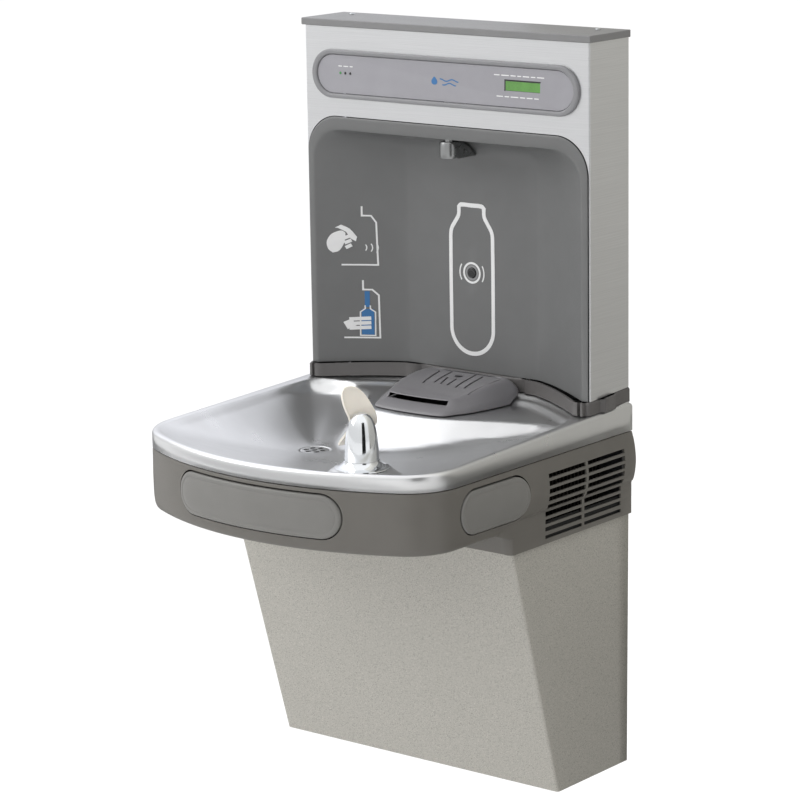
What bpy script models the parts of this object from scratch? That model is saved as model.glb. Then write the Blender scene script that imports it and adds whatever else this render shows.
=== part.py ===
"""Wall-hung drinking fountain with a bottle-filling station above its basin.

All shapes are written in millimetres in the cabinet frame: X across the front, front towards -Y,
wall plane at y = 0, z = 0 on the cabinet's lower edge. The put() helper moves them into metres
with the origin on the wall hanger's back face.
"""
import math

import bmesh
import bpy
from mathutils import Vector

# ------------------------------------------------------------------ driving dimensions (mm)
HANG_Z = 400.0            # height of the wall hanger's centre above the cabinet's lower edge
GAP = 0.35                # clearance between pieces that touch

BASIN_HALF = 236.5        # half width of the basin rim
BASIN_FRONT = 485.3       # wall to the front of the rim
BASIN_ARC = 427.9         # plan radius of the rim's front
BASIN_FILLET = 75.0       # plan radius of the rim's front corners
RIM_LOW = 470.0           # top of the rim at the front
RIM_RISE = 17.0           # how much the rim rises towards the wall
SKIRT_Z = 450.2           # lower edge of the rim's outer band
DRAIN = (-86.0, -256.0)   # plan position of the drain
DRAIN_Z = 430.0           # bowl height at the drain
DECK_Z = 474.4            # flat deck behind the bowl that carries the drip tray
BUBBLER = (102.0, -389.0)  # plan position of the bubbler
PAD_Z = 459.2             # top of the bubbler's seat

TOWER_HALF = 230.5
TOWER_DEPTH = 86.5
TOWER_TOP = 957.4
COVER_TOP = 967.0
ALCOVE_HALF = 217.0
ALCOVE_BACK = 28.0        # wall to the flat middle of the alcove
ALCOVE_TOP = 821.0
FLANGE_HALF = 227.9
FLANGE_TOP = 838.2

PANEL_HALF_LOW = 228.0    # cabinet panel half width at its lower edge
PANEL_HALF_TOP = 230.6
PANEL_FRONT_LOW = 157.0   # wall to the front face at the lower edge
PANEL_SLOPE = 0.289       # forward lean of the front face
PANEL_CORNER = 4.0        # radius of the panel's front edges
PANEL_TOP = 366.0

COLLAR_HALF = 234.9       # half width of the shroud's collar round the cabinet
COLLAR_FRONT = 270.0      # wall to the collar's front at its upper edge
COLLAR_ROUND = 13.0
COLLAR_TOP = 369.3
COLLAR_LOW = 339.4

BAR_STROKE = 4.0          # travel of a push bar
BAR_HALF_Z = 27.6
FRONT_BAR_HALF = 130.0
FRONT_BAR_Z = 414.6
SIDE_BAR_Z = 412.2
SIDE_BAR_Y = (-366.0, -231.5)
SIDE_BAR_BACK = 229.5     # inner face of the side bars
FAN_AXIS = (-110.0, 320.0)  # y and z of the condenser fan's axis


# ------------------------------------------------------------------ scene and materials
def clear_scene():
    for old in list(bpy.data.objects):
        bpy.data.objects.remove(old, do_unlink=True)


def material(name, rgb, roughness, metallic=0.0):
    mat = bpy.data.materials.new(name)
    mat.use_nodes = True
    shader = mat.node_tree.nodes["Principled BSDF"]
    shader.inputs["Base Color"].default_value = (*rgb, 1.0)
    shader.inputs["Roughness"].default_value = roughness
    shader.inputs["Metallic"].default_value = metallic
    mat.diffuse_color = (*rgb, 1.0)
    return mat


STEEL = ((0.62, 0.62, 0.61), 0.32, 1.0)
SATIN = ((0.70, 0.71, 0.71), 0.26, 1.0)
CHROME = ((0.80, 0.82, 0.84), 0.08, 1.0)
SHROUD = ((0.205, 0.200, 0.188), 0.45, 0.0)
BAR_GREY = ((0.225, 0.220, 0.208), 0.45, 0.0)
COVER_GREY = ((0.27, 0.27, 0.26), 0.5, 0.0)
LINER_GREY = ((0.155, 0.162, 0.160), 0.5, 0.0)
TRIM_DARK = ((0.085, 0.080, 0.076), 0.5, 0.0)
TRAY_DARK = ((0.130, 0.125, 0.135), 0.5, 0.0)
BEZEL_GREY = ((0.150, 0.150, 0.155), 0.4, 0.0)
FACE_GREY = ((0.34, 0.34, 0.36), 0.42, 0.0)
CREAM = ((0.76, 0.70, 0.58), 0.5, 0.0)
GRANITE = ((0.49, 0.46, 0.40), 0.55, 0.0)
GALVANISED = ((0.55, 0.57, 0.58), 0.45, 1.0)
BLACK = ((0.02, 0.02, 0.02), 0.5, 0.0)
COPPER = ((0.72, 0.36, 0.22), 0.3, 1.0)
FOAM = ((0.10, 0.10, 0.11), 0.8, 0.0)
WHITE = ((0.78, 0.78, 0.76), 0.45, 0.0)
BRASS = ((0.62, 0.47, 0.24), 0.35, 1.0)


# ------------------------------------------------------------------ mesh helpers
def put(name, bm, look, origin=(0.0, 0.0, 0.0), solid=0.0, offset=-1.0, smooth=35.0, even=True):
    """Turn a millimetre bmesh into a named object whose origin is at the given cabinet point."""
    bmesh.ops.remove_doubles(bm, verts=bm.verts, dist=1e-4)
    bmesh.ops.recalc_face_normals(bm, faces=bm.faces)
    o = Vector(origin)
    for v in bm.verts:
        v.co = (v.co - o) * 0.001
    mesh = bpy.data.meshes.new(name)
    bm.to_mesh(mesh)
    bm.free()
    obj = bpy.data.objects.new(name, mesh)
    bpy.context.scene.collection.objects.link(obj)
    obj.location = Vector((o.x, o.y, o.z - HANG_Z)) * 0.001
    obj.data.materials.append(material(name, *look))
    for poly in mesh.polygons:
        poly.use_smooth = True
    mesh.set_sharp_from_angle(angle=math.radians(smooth))
    if solid:
        mod = obj.modifiers.new("thickness", "SOLIDIFY")
        mod.thickness = solid * 0.001
        mod.offset = offset
        mod.use_even_offset = even
    return obj


def cutter(name, bm):
    obj = put(name, bm, BLACK)
    obj.hide_render = True
    obj.display_type = "WIRE"
    return obj


def combine(target, tool, operation="DIFFERENCE"):
    mod = target.modifiers.new(tool.name, "BOOLEAN")
    mod.operation = operation
    mod.solver = "EXACT"
    mod.object = tool
    return target


def add_box(bm, x0, x1, y0, y1, z0, z1):
    vs = [bm.verts.new((x, y, z)) for z in (z0, z1) for y in (y0, y1) for x in (x0, x1)]
    for f in ((0, 2, 3, 1), (4, 5, 7, 6), (0, 1, 5, 4), (2, 6, 7, 3), (0, 4, 6, 2), (1, 3, 7, 5)):
        bm.faces.new([vs[i] for i in f])


def boxes(*specs):
    bm = bmesh.new()
    for s in specs:
        add_box(bm, *s)
    return bm


def loft(rings, closed=True, caps=(True, True), bm=None):
    """Join rings of equally many points; caps are single faces on the first and last ring."""
    bm = bm or bmesh.new()
    rows = [[bm.verts.new(p) for p in ring] for ring in rings]
    n = len(rows[0])
    for a, b in zip(rows, rows[1:]):
        for i in range(n if closed else n - 1):
            j = (i + 1) % n
            bm.faces.new((a[i], a[j], b[j], b[i]))
    if caps[0]:
        bm.faces.new(list(reversed(rows[0])))
    if caps[1]:
        bm.faces.new(rows[-1])
    return bm


def ladder(bm, ring):
    """Close a ring with quads that run across it, for rings symmetric about their first point."""
    n = len(ring)
    for i in range(1, n // 2):
        a, b, c, d = ring[i - 1], ring[i], ring[n - i], ring[(n - i + 1) % n]
        if i == 1:
            bm.faces.new((a, b, c))
        else:
            bm.faces.new((a, b, c, d))
    if n % 2 == 0:
        bm.faces.new((ring[n // 2 - 1], ring[n // 2], ring[n // 2 + 1]))


def ladder_loft(rings, cap_first=True, cap_last=True):
    bm = bmesh.new()
    rows = [[bm.verts.new(p) for p in ring] for ring in rings]
    n = len(rows[0])
    for a, b in zip(rows, rows[1:]):
        for i in range(n):
            j = (i + 1) % n
            bm.faces.new((a[i], a[j], b[j], b[i]))
    if cap_first:
        ladder(bm, rows[0])
    if cap_last:
        ladder(bm, rows[-1])
    return bm


def circle(n, r, cx=0.0, cy=0.0, sx=1.0, sy=1.0):
    return [(cx + sx * r * math.cos(2 * math.pi * i / n), cy + sy * r * math.sin(2 * math.pi * i / n))
            for i in range(n)]


def along(axis, a, b, h):
    """Point with in-plane coordinates a, b and height h along the axis (right-handed order)."""
    if axis == "x":
        return (h, a, b)
    if axis == "y":
        return (a, h, b)
    return (a, b, h)


def revolve(profile, axis="z", at=(0.0, 0.0), n=16, sx=1.0, sy=1.0, bm=None):
    """Turn a list of (radius, height) points around an axis line; closed at both ends."""
    rings = [[along(axis, a, b, h) for a, b in circle(n, r, at[0], at[1], sx, sy)] for r, h in profile]
    return loft(rings, bm=bm)


def hollow(profile, axis="z", at=(0.0, 0.0), n=20):
    """Turn a closed (radius, height) loop around an axis line, leaving an open bore."""
    rings = [[along(axis, a, b, h) for a, b in circle(n, r, at[0], at[1])] for r, h in profile]
    return loft(rings + [rings[0]], caps=(False, False))


def prism(points, axis, h0, h1, bm=None):
    return loft([[along(axis, a, b, h) for a, b in points] for h in (h0, h1)], bm=bm)


def pill(half_w, half_h, n=5, middle=0):
    """Stadium outline, symmetric about both axes, starting at its +a end."""
    c = half_w - half_h
    quarter = []
    for i in range(n + 1):
        a = math.pi / 2 * i / n
        quarter.append((c + half_h * math.cos(a), half_h * math.sin(a)))
    run = [(c - 2.0 * c * i / (middle + 1), half_h) for i in range(1, middle + 1)]
    upper = quarter + run + [(-x, z) for x, z in reversed(quarter)]
    return upper + [(x, -z) for x, z in reversed(upper[1:-1])]


def tube(name, path, r, look, n=8):
    """Round bar swept along a path with straight cuts at its ends."""
    pts = [Vector(p) for p in path]
    rings = []
    side = None
    for i, p in enumerate(pts):
        d = (pts[min(i + 1, len(pts) - 1)] - pts[max(i - 1, 0)]).normalized()
        if side is None:
            side = d.orthogonal().normalized()
        side = (side - d * side.dot(d)).normalized()
        up = d.cross(side)
        rings.append([p + r * (math.cos(2 * math.pi * k / n) * side + math.sin(2 * math.pi * k / n) * up)
                      for k in range(n)])
    return put(name, loft(rings), look)


def bend(points, radius=14.0, steps=3):
    """Round the inner corners of a polyline."""
    pts = [Vector(p) for p in points]
    out = [pts[0]]
    for a, b, c in zip(pts, pts[1:], pts[2:]):
        r = min(radius, (a - b).length * 0.45, (c - b).length * 0.45)
        p = b + (a - b).normalized() * r
        q = b + (c - b).normalized() * r
        for k in range(steps + 1):
            t = k / steps
            out.append(p * (1 - t) ** 2 + b * 2 * t * (1 - t) + q * t ** 2)
    out.append(pts[-1])
    return out


def smooth01(t):
    t = min(1.0, max(0.0, t))
    return t * t * (3.0 - 2.0 * t)


# ------------------------------------------------------------------ shared curves
def rim_z(y):
    return RIM_LOW + RIM_RISE * (y + BASIN_FRONT) / BASIN_FRONT


def curve(points, x):
    """Height of a polyline of (x, value) points, held level beyond its ends."""
    if x <= points[0][0]:
        return points[0][1]
    for (x0, a), (x1, b) in zip(points, points[1:]):
        if x <= x1:
            return a + (b - a) * (x - x0) / (x1 - x0)
    return points[-1][1]


def front_path(d=0.0, arc=8, corner=6, sides=(-30.0, -84.0, -150.0, -231.0, -310.0)):
    """Half outline of the rim from the wall on the +X side to the front middle, inset by d."""
    half, radius, fillet = BASIN_HALF - d, BASIN_ARC - d, BASIN_FILLET - d
    centre = BASIN_ARC - BASIN_FRONT
    fx = BASIN_HALF - BASIN_FILLET
    fy = centre - math.sqrt((BASIN_ARC - BASIN_FILLET) ** 2 - fx ** 2)
    pts = [(half, -0.6)]
    pts += [(half, y) for y in sides]
    join = math.atan2(fy - centre, fx)
    for i in range(corner + 1):
        a = join * i / corner
        pts.append((fx + fillet * math.cos(a), fy + fillet * math.sin(a)))
    for i in range(1, arc + 1):
        a = join + (-math.pi / 2 - join) * i / arc
        pts.append((radius * math.cos(a), centre + radius * math.sin(a)))
    return pts


def mirror(half):
    """Full path from a half path that ends on the middle plane."""
    return half + [(-p[0],) + tuple(p[1:]) for p in reversed(half[:-1])]


def alcove_y(x, back=ALCOVE_BACK):
    t = max(0.0, (abs(x) - 105.0) / (ALCOVE_HALF - 105.0))
    return -back - (TOWER_DEPTH - back) * min(1.0, t) ** 1.3


def trim_y(x):
    t = max(0.0, (abs(x) - 105.0) / 108.0)
    return -31.0 - 60.0 * min(1.0, t) ** 1.3


def trim_top(y):
    return 501.2 + 5.0 * (y + 91.0) / 91.0


# ------------------------------------------------------------------ basin
BEAD = 7.0                # width of the bead between the base trim and the bowl
DECK_EDGE = ((-236.0, -128.0), (-226.0, -118.0), (-210.0, -97.0), (-186.0, -84.0), (-150.0, -84.0),
             (-118.0, -100.0), (-96.0, -134.0), (-76.0, -164.0), (-50.0, -178.0), (0.0, -181.0),
             (50.0, -177.0), (80.0, -166.0), (130.0, -143.0), (178.0, -125.0), (225.0, -130.0))
DECK_FALL = ((-118.0, 0.7), (-96.0, 0.6), (-50.0, 0.42), (0.0, 0.33), (60.0, 0.26))


def basin_stations(inset):
    """Outline of the basin blank inset by d; the back is notched to clear the chassis."""
    half = front_path(inset)
    near = min(inset, 3.0)
    leg = 229.2 + 0.55 * near
    back = [(x, -24.0 - inset) for x in (0.0, 30.0, 60.0, 90.0, 120.0, 150.0, 175.0, leg)]
    back.append((leg, -0.6 - near))
    half[0] = (BASIN_HALF - 1.4 * near, -0.6 - near)
    half[1] = (BASIN_HALF - near, half[1][1])
    right = back + half
    return right + [(-x, y) for x, y in reversed(right[1:-1])]


def bowl_stations():
    """Upper edge of the bowl, with one point for each point of the basin outline."""
    back = [(x, trim_y(x) - BEAD) for x in (0.0, 30.0, 60.0, 90.0, 115.0, 138.0, 158.0, 175.0, 187.0)]
    sides = [(198.0, trim_y(198.0) - BEAD), (209.0, -99.0), (216.0, -111.0), (221.0, -136.0),
             (223.5, -231.0), (224.5, -310.0)]
    front = front_path(12.0)[6:]
    right = back + sides + front
    return right + [(-x, y) for x, y in reversed(right[1:-1])]


def shrink(points, e, centre=DRAIN):
    out = []
    for x, y in points:
        dx, dy = centre[0] - x, centre[1] - y
        s = e / math.hypot(dx, dy)
        out.append((x + dx * s, y + dy * s))
    return out


def rim_drop(x, y):
    """How far the bowl's lower shape starts below the rim: least on the left, most at the back."""
    back = smooth01((y + 170.0) / 80.0)
    right = smooth01((x + 60.0) / 140.0)
    return 3.0 + 14.0 * back + 7.0 * right * (1.0 - back)


def deck_z(x, y):
    """Flat deck with a ledge and a bead that rise to the back edge of the bowl."""
    t = trim_y(min(abs(x), 213.0)) - y
    ledge = 6.0 * (1.0 - smooth01((t - 18.0) / 14.0))
    bead = (rim_z(y) - 2.2 - DECK_Z - 6.0) * (1.0 - smooth01((t - BEAD) / 7.0))
    return DECK_Z + ledge + bead


def bowl_z(x, y, u, rim):
    """Bowl height at (x, y), a fraction u of the way from the given rim point to the drain."""
    start = rim_z(rim[1]) - rim_drop(*rim)
    floor = DRAIN_Z + (start - DRAIN_Z) * (1.0 - u) ** 1.5
    beyond = max(0.0, curve(DECK_EDGE, x) - y)
    shelf = deck_z(x, y) - curve(DECK_FALL, x) * beyond
    return 0.5 * (floor + shelf + math.sqrt((floor - shelf) ** 2 + 6.0))


def basin():
    rows = []
    for inset, drop in ((0.0, None), (0.4, 9.0), (2.6, 2.6), (6.5, 0.0)):
        ring = []
        for x, y in basin_stations(inset):
            ring.append((x, y, SKIRT_Z if drop is None else rim_z(y) - drop))
        rows.append(ring)
    edge = bowl_stations()
    rows.append([(x, y, rim_z(y) - 0.8) for x, y in shrink(edge, -2.5)])
    for u in (0.0, 0.03, 0.07, 0.13, 0.2, 0.28, 0.36, 0.45, 0.54, 0.63, 0.72, 0.82, 0.92, 1.0):
        ring = []
        for ex, ey in edge:
            d = math.hypot(ex - DRAIN[0], ey - DRAIN[1])
            k = 1.0 - u * (1.0 - 19.0 / d)
            x = DRAIN[0] + (ex - DRAIN[0]) * k
            y = DRAIN[1] + (ey - DRAIN[1]) * k
            lift = rim_z(ey) - 2.2 - bowl_z(ex, ey, 0.0, (ex, ey))
            fade = 1.0 - smooth01(u * (d - 19.0) / 16.0)
            z = bowl_z(x, y, u, (ex, ey)) + lift * fade
            ring.append((x, y, DRAIN_Z if u == 1.0 else z))
        rows.append(ring)
    bm = loft(rows, caps=(False, False))
    obj = put("basin", bm, SATIN, solid=1.5, even=False)
    pad = revolve([(40.0, PAD_Z - 13.0), (40.0, PAD_Z - 4.0), (35.5, PAD_Z)], at=BUBBLER, n=28)
    combine(obj, cutter("bubbler_seat_form", pad), "UNION")
    combine(obj, cutter("bubbler_seat_hole", revolve([(9.5, 430.0), (9.5, 480.0)], at=BUBBLER, n=16)))
    return obj


def drain_parts():
    x, y = DRAIN
    top = put("drain_strainer", revolve([(18.2, DRAIN_Z - 1.8), (18.2, DRAIN_Z - 0.6), (17.0, DRAIN_Z)],
                                        at=DRAIN, n=20), SATIN)
    slots = bmesh.new()
    for i, w in enumerate((7.0, 11.0, 13.0, 11.0, 7.0)):
        yy = y + (i - 2) * 6.0
        add_box(slots, x - w, x + w, yy - 1.6, yy + 1.6, DRAIN_Z - 6.0, DRAIN_Z + 4.0)
    combine(top, cutter("strainer_slots", slots))
    z = DRAIN_Z - 2.1
    cup = [(13.0, z), (24.5, z), (24.5, z - 2.4), (19.4, z - 3.0), (19.4, z - 24.0), (13.0, z - 24.0)]
    put("drain_tailpiece", hollow(cup, at=DRAIN, n=20), CHROME)
    path = bend([(x, y, z - 24.5), (x, y, 386.0), (x - 30.0, -120.0, 378.0), (-142.0, -30.0, 372.0),
                 (-142.0, -30.0, 22.0)], radius=24.0, steps=4)
    tube("waste_tube", path, 14.0, WHITE, n=10)


# ------------------------------------------------------------------ bubbler
GUARD_LEAN = 0.5          # how far the guard's width turns from Y towards X


def bubbler_parts():
    x, y = BUBBLER
    z = PAD_Z + 0.3
    flange = [(8.2, z), (34.0, z), (34.0, z + 1.2), (29.0, z + 2.6), (25.0, z + 5.2), (22.2, z + 9.6),
              (8.2, z + 9.6)]
    put("bubbler_flange", hollow(flange, at=BUBBLER, n=20), CHROME)
    base = z + 10.0
    body = put("bubbler_body",
               revolve([(7.6, 436.0), (7.6, base), (21.2, base), (20.4, base + 14.0), (19.2, base + 28.0),
                        (17.2, base + 41.0), (14.2, base + 51.0), (9.5, base + 57.0), (4.0, base + 59.2)],
                       at=BUBBLER, n=20), CHROME)
    seat = [(-46.0, 478.0), (-34.0, 483.5), (-24.5, 489.0), (-14.5, 499.0), (-5.0, 510.0), (-1.0, 521.0),
            (-1.0, 540.0), (-46.0, 540.0)]
    rings = [[(x + a + GUARD_LEAN * b, y + b, c) for a, c in seat] for b in (-40.0, 40.0)]
    combine(body, cutter("guard_seat", loft(rings)))
    combine(body, cutter("guard_pocket", boxes((x - 20.0, x + 2.4, y - 6.0, y + 6.0, 504.6, 509.4))))
    outlet = revolve([(2.8, x - 20.0), (2.8, x + 5.0)], axis="x", at=(y, 518.0), n=10)
    combine(body, cutter("outlet_bore", outlet))
    nut = put("bubbler_nut", prism(circle(6, 15.0, x, y), "z", 438.0, 445.2), BRASS)
    combine(nut, cutter("nut_bore", revolve([(8.0, 430.0), (8.0, 450.0)], at=BUBBLER, n=16)))

    spine = [(-43.0, 481.5, 2.5, 7.0), (-36.0, 487.0, 6.5, 7.0), (-28.0, 493.5, 9.5, 7.2),
             (-19.0, 502.5, 13.0, 8.2), (-11.0, 512.0, 16.3, 8.0), (-7.0, 522.0, 16.5, 5.0),
             (-8.0, 533.0, 16.6, 1.6), (-11.5, 543.0, 15.3, 0.2), (-14.5, 552.0, 12.8, -0.8),
             (-15.0, 559.5, 5.0, -2.4)]
    grid = []
    for sx, sz, w, aside in spine:
        row = []
        for k in range(7):
            t = -1.0 + k / 3.0
            curl = 5.0 * (w / 20.0) ** 2 * t ** 4
            across = aside + w * t
            row.append((x + sx + curl + GUARD_LEAN * across, y + across, sz - 0.2 * curl))
        grid.append(row)
    guard = put("mouth_guard", loft(grid, closed=False, caps=(False, False)), CREAM, solid=2.6, offset=0.0)
    stem = cutter("guard_stem", boxes((x - 14.0, x + 2.0, y - 5.6, y + 5.6, 505.0, 509.0)))
    combine(guard, stem, "UNION")
    hole = revolve([(4.0, x - 16.0), (4.0, x + 3.0)], axis="x", at=(y, 518.0), n=12)
    combine(guard, cutter("guard_hole", hole))


# ------------------------------------------------------------------ drip tray
TRAY_PLAN = ((0.0, -35.0), (40.0, -35.5), (70.0, -36.5), (82.5, -40.0), (85.0, -54.0), (82.8, -82.0),
             (78.1, -109.0), (71.6, -134.0), (63.5, -152.0), (60.0, -161.0), (54.0, -168.0),
             (40.0, -171.5), (20.0, -173.5), (0.0, -174.0))
TRAY_TOP = ((-150.0, 492.0), (-128.0, 494.4), (-104.0, 499.2), (-75.0, 502.8), (-35.0, 503.8))
TRAY_CREST = ((-174.0, 50.0), (-149.0, 55.0), (-109.0, 62.5), (-76.0, 65.5), (-35.0, 66.0))
TRAY_FOOT = ((-174.0, 56.0), (-152.0, 63.5), (-134.0, 71.6), (-109.0, 78.1), (-82.0, 82.8), (-40.0, 85.0))


def tray_ring(inward, front, side_rise, front_rise):
    """Ring of the tray between its foot and its crest; the sides bulge and the front is a ramp."""
    rear = -35.0
    full = TRAY_PLAN + tuple((-x, y) for x, y in reversed(TRAY_PLAN[1:-1]))
    ring = []
    for x, y in full:
        foot = curve(TRAY_FOOT, y)
        half = foot + (curve(TRAY_CREST, y) - foot) * inward
        px = x * half / foot
        py = rear + (y - rear) * (front - rear) / (-174.0 - rear)
        low = max(DECK_Z + 0.9, 1.15 * (deck_z(px, py) - DECK_Z) + DECK_Z + 1.6)
        w = smooth01((-146.0 - y) / 20.0)
        rise = side_rise + (front_rise - side_rise) * w
        ring.append((px, py, low + (curve(TRAY_TOP, py) - low) * rise))
    return ring


def drip_tray():
    rings = [tray_ring(0.0, -174.0, 0.0, 0.0), tray_ring(-0.05, -173.4, 0.2, 0.12),
             tray_ring(0.3, -153.5, 0.62, 0.6), tray_ring(0.8, -150.4, 0.95, 0.95),
             tray_ring(1.1, -148.0, 1.0, 1.0)]
    obj = put("drip_tray", ladder_loft(rings, cap_first=False), TRAY_DARK, solid=2.2)
    slots = bmesh.new()
    for x0, y0, x1, y1 in ((-56.0, -48.0, -26.0, -103.0), (-44.0, -44.0, -12.0, -102.0),
                           (-29.0, -42.0, 2.0, -96.0), (12.0, -60.0, 34.0, -106.0),
                           (27.0, -46.0, 50.0, -108.0)):
        prism([(x0 - 1.6, y0), (x0 + 1.6, y0), (x1 + 1.6, y1), (x1 - 1.6, y1)], "z", 480.0, 515.0, bm=slots)
    revolve([(6.6, 480.0), (6.6, 515.0)], at=(-2.0, -62.0), n=16, bm=slots)
    combine(obj, cutter("tray_slots", slots))
    combine(obj, cutter("tray_mouth", boxes((-48.5, 48.5, -165.0, -142.0, 487.2, 490.8))))


# ------------------------------------------------------------------ shroud
def shroud_profile(y):
    """Inset and height pairs down the shroud's outer face at distance y from the wall."""
    bulge = smooth01((y + 372.0) / 130.0)
    top = [(9.0, 448.8), (1.0, 448.8), (0.0, 446.0)]
    top += [(0.0 - 2.6 * bulge, 437.0), (-0.2 - 4.4 * bulge, 426.0), (-0.3 - 5.4 * bulge, 412.0)]
    rear = [(-5.0, 401.0), (-3.2, 391.0), (-1.0, 384.6), (1.2, 381.6), (1.4, 375.0), (1.5, 362.0)]
    fore = [(-0.2 - 4.6 * bulge, 401.0), (-3.0 * bulge, 391.0), (0.4 - 1.2 * bulge, 384.0), (1.4, 377.0),
            (4.0, 371.6), (9.5, 369.3)]
    w = smooth01((y + 294.0) / 32.0)
    mix = [(a[0] + (b[0] - a[0]) * w, a[1] + (b[1] - a[1]) * w) for a, b in zip(fore, rear)]
    return top + mix, w


def side_x(y, z):
    """Half width of the shroud's outer face at a point of its side."""
    rows = [(b, a) for a, b in reversed(shroud_profile(y)[0][2:])]
    return BASIN_HALF - curve(rows, z)


def collar_point(turn, along_front, z):
    """Outer face of the collar round the cabinet: a rounded corner, then the leaning front."""
    lean = PANEL_SLOPE * (COLLAR_TOP - z)
    if along_front <= 0.0:
        a = math.pi / 2 * turn
        return (COLLAR_HALF - COLLAR_ROUND + COLLAR_ROUND * math.cos(a),
                -COLLAR_FRONT + COLLAR_ROUND - COLLAR_ROUND * math.sin(a) + lean * turn, z)
    return ((COLLAR_HALF - COLLAR_ROUND) * (1.0 - along_front), -COLLAR_FRONT + lean, z)


def shroud_rows(sides, arc, corner):
    """Grid of points: one column per station along the wrap, one row per profile point."""
    table = {}
    base = front_path(0.0, arc, corner, sides)
    n = len(base)
    columns = []
    for i, (_, by) in enumerate(base):
        prof, w = shroud_profile(by if i <= len(sides) else -400.0)
        col = []
        for d, z in prof:
            if d not in table:
                table[d] = front_path(d, arc, corner, sides)
            px, py = table[d][i]
            col.append((px, py, z))
        if by > -263.0 and i <= len(sides):
            col.append((COLLAR_HALF - 0.1, by, 352.0))
            col.append((COLLAR_HALF - 0.4, by, COLLAR_LOW))
            col.append((COLLAR_HALF - 3.2, by, COLLAR_LOW))
        else:
            turn = min(1.0, (-262.0 - by) / 32.0)
            front = max(0.0, (i - len(sides)) / (n - 1.0 - len(sides)))
            top = prof[-1][1]
            col.append(collar_point(turn, front, top))
            col.append(collar_point(turn, front, COLLAR_LOW))
            x, y, z = collar_point(turn, front, COLLAR_LOW)
            a = math.pi / 2 * turn
            col.append((x - 2.8 * math.cos(a), y + 2.8 * math.sin(a), z))
        columns.append(col)
    left = [[(-x, y, z) for x, y, z in c] for c in reversed(columns[:-1])]
    return columns + left


SIDE_STATIONS = (-120.0, -196.0, -228.0, -250.0, -262.0, -272.0, -282.0, -294.0, -318.0, -344.0)


def side_bar_ring(inset, x):
    y0, y1 = SIDE_BAR_Y
    half = (y1 - y0) / 2
    ring = pill(half - inset, BAR_HALF_Z - inset, middle=1)
    return [(x, (y0 + y1) / 2 + a, SIDE_BAR_Z + b) for a, b in ring]


def front_bar_ring(inset, y):
    ring = pill(FRONT_BAR_HALF - inset, BAR_HALF_Z - inset, middle=5)
    return [(a, y, FRONT_BAR_Z + b) for a, b in ring]


def shroud():
    grid = shroud_rows(SIDE_STATIONS, 8, 6)
    obj = put("shroud", loft(grid, closed=False, caps=(False, False)), SHROUD, solid=2.6, even=False)
    holes = bmesh.new()
    rows = [(425.2, 430.4), (414.9, 421.3), (404.9, 411.0), (395.1, 401.0), (385.3, 390.5),
            (374.5, 380.5), (364.6, 370.4), (355.1, 360.4), (345.8, 349.9)]
    for s in (-1, 1):
        x0, x1 = sorted((s * 222.0, s * 250.0))
        for z0, z1 in rows:
            for y0, y1 in ((-191.0, -111.5), (-106.5, -25.0)):
                add_box(holes, x0, x1, y0, y1, z0, z1)
    combine(obj, cutter("louvre_slots", holes))
    ports = bmesh.new()
    for s in (-1, 1):
        loft([side_bar_ring(-0.8, s * 215.0), side_bar_ring(-0.8, s * 255.0)], bm=ports)
    loft([front_bar_ring(-0.8, -440.0), front_bar_ring(-0.8, -505.0)], bm=ports)
    combine(obj, cutter("bar_ports", ports))
    return obj


# ------------------------------------------------------------------ push bars and switches
def arc_front(x, d=0.0):
    centre = BASIN_ARC - BASIN_FRONT
    return centre - math.sqrt((BASIN_ARC - d) ** 2 - x * x)


def push_bars():
    rings = []
    for inset, proud in ((0.0, None), (0.0, -1.5), (0.8, 0.6), (3.0, 1.8), (9.0, 2.6), (18.0, 3.0)):
        ring = []
        for x, _, z in front_bar_ring(inset, 0.0):
            depth = arc_front(x)
            ring.append((x, depth + 13.0 if proud is None else depth - proud, z))
        rings.append(ring)
    put("front_push_bar", ladder_loft(rings), BAR_GREY, origin=(0.0, -479.0, FRONT_BAR_Z))
    for s, name in ((-1, "left_push_bar"), (1, "right_push_bar")):
        rings = []
        for inset, proud in ((0.0, None), (0.0, -1.5), (0.8, 0.4), (3.0, 1.4), (9.0, 2.0), (18.0, 2.3)):
            ring = []
            for _, y, z in side_bar_ring(inset, 0.0):
                if proud is None:
                    ring.append((s * SIDE_BAR_BACK, y, z))
                else:
                    ring.append((s * (side_x(y, z) + proud), y, z))
            rings.append(ring)
        mid = sum(SIDE_BAR_Y) / 2
        put(name, ladder_loft(rings), BAR_GREY, origin=(s * 236.0, mid, SIDE_BAR_Z))


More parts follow.
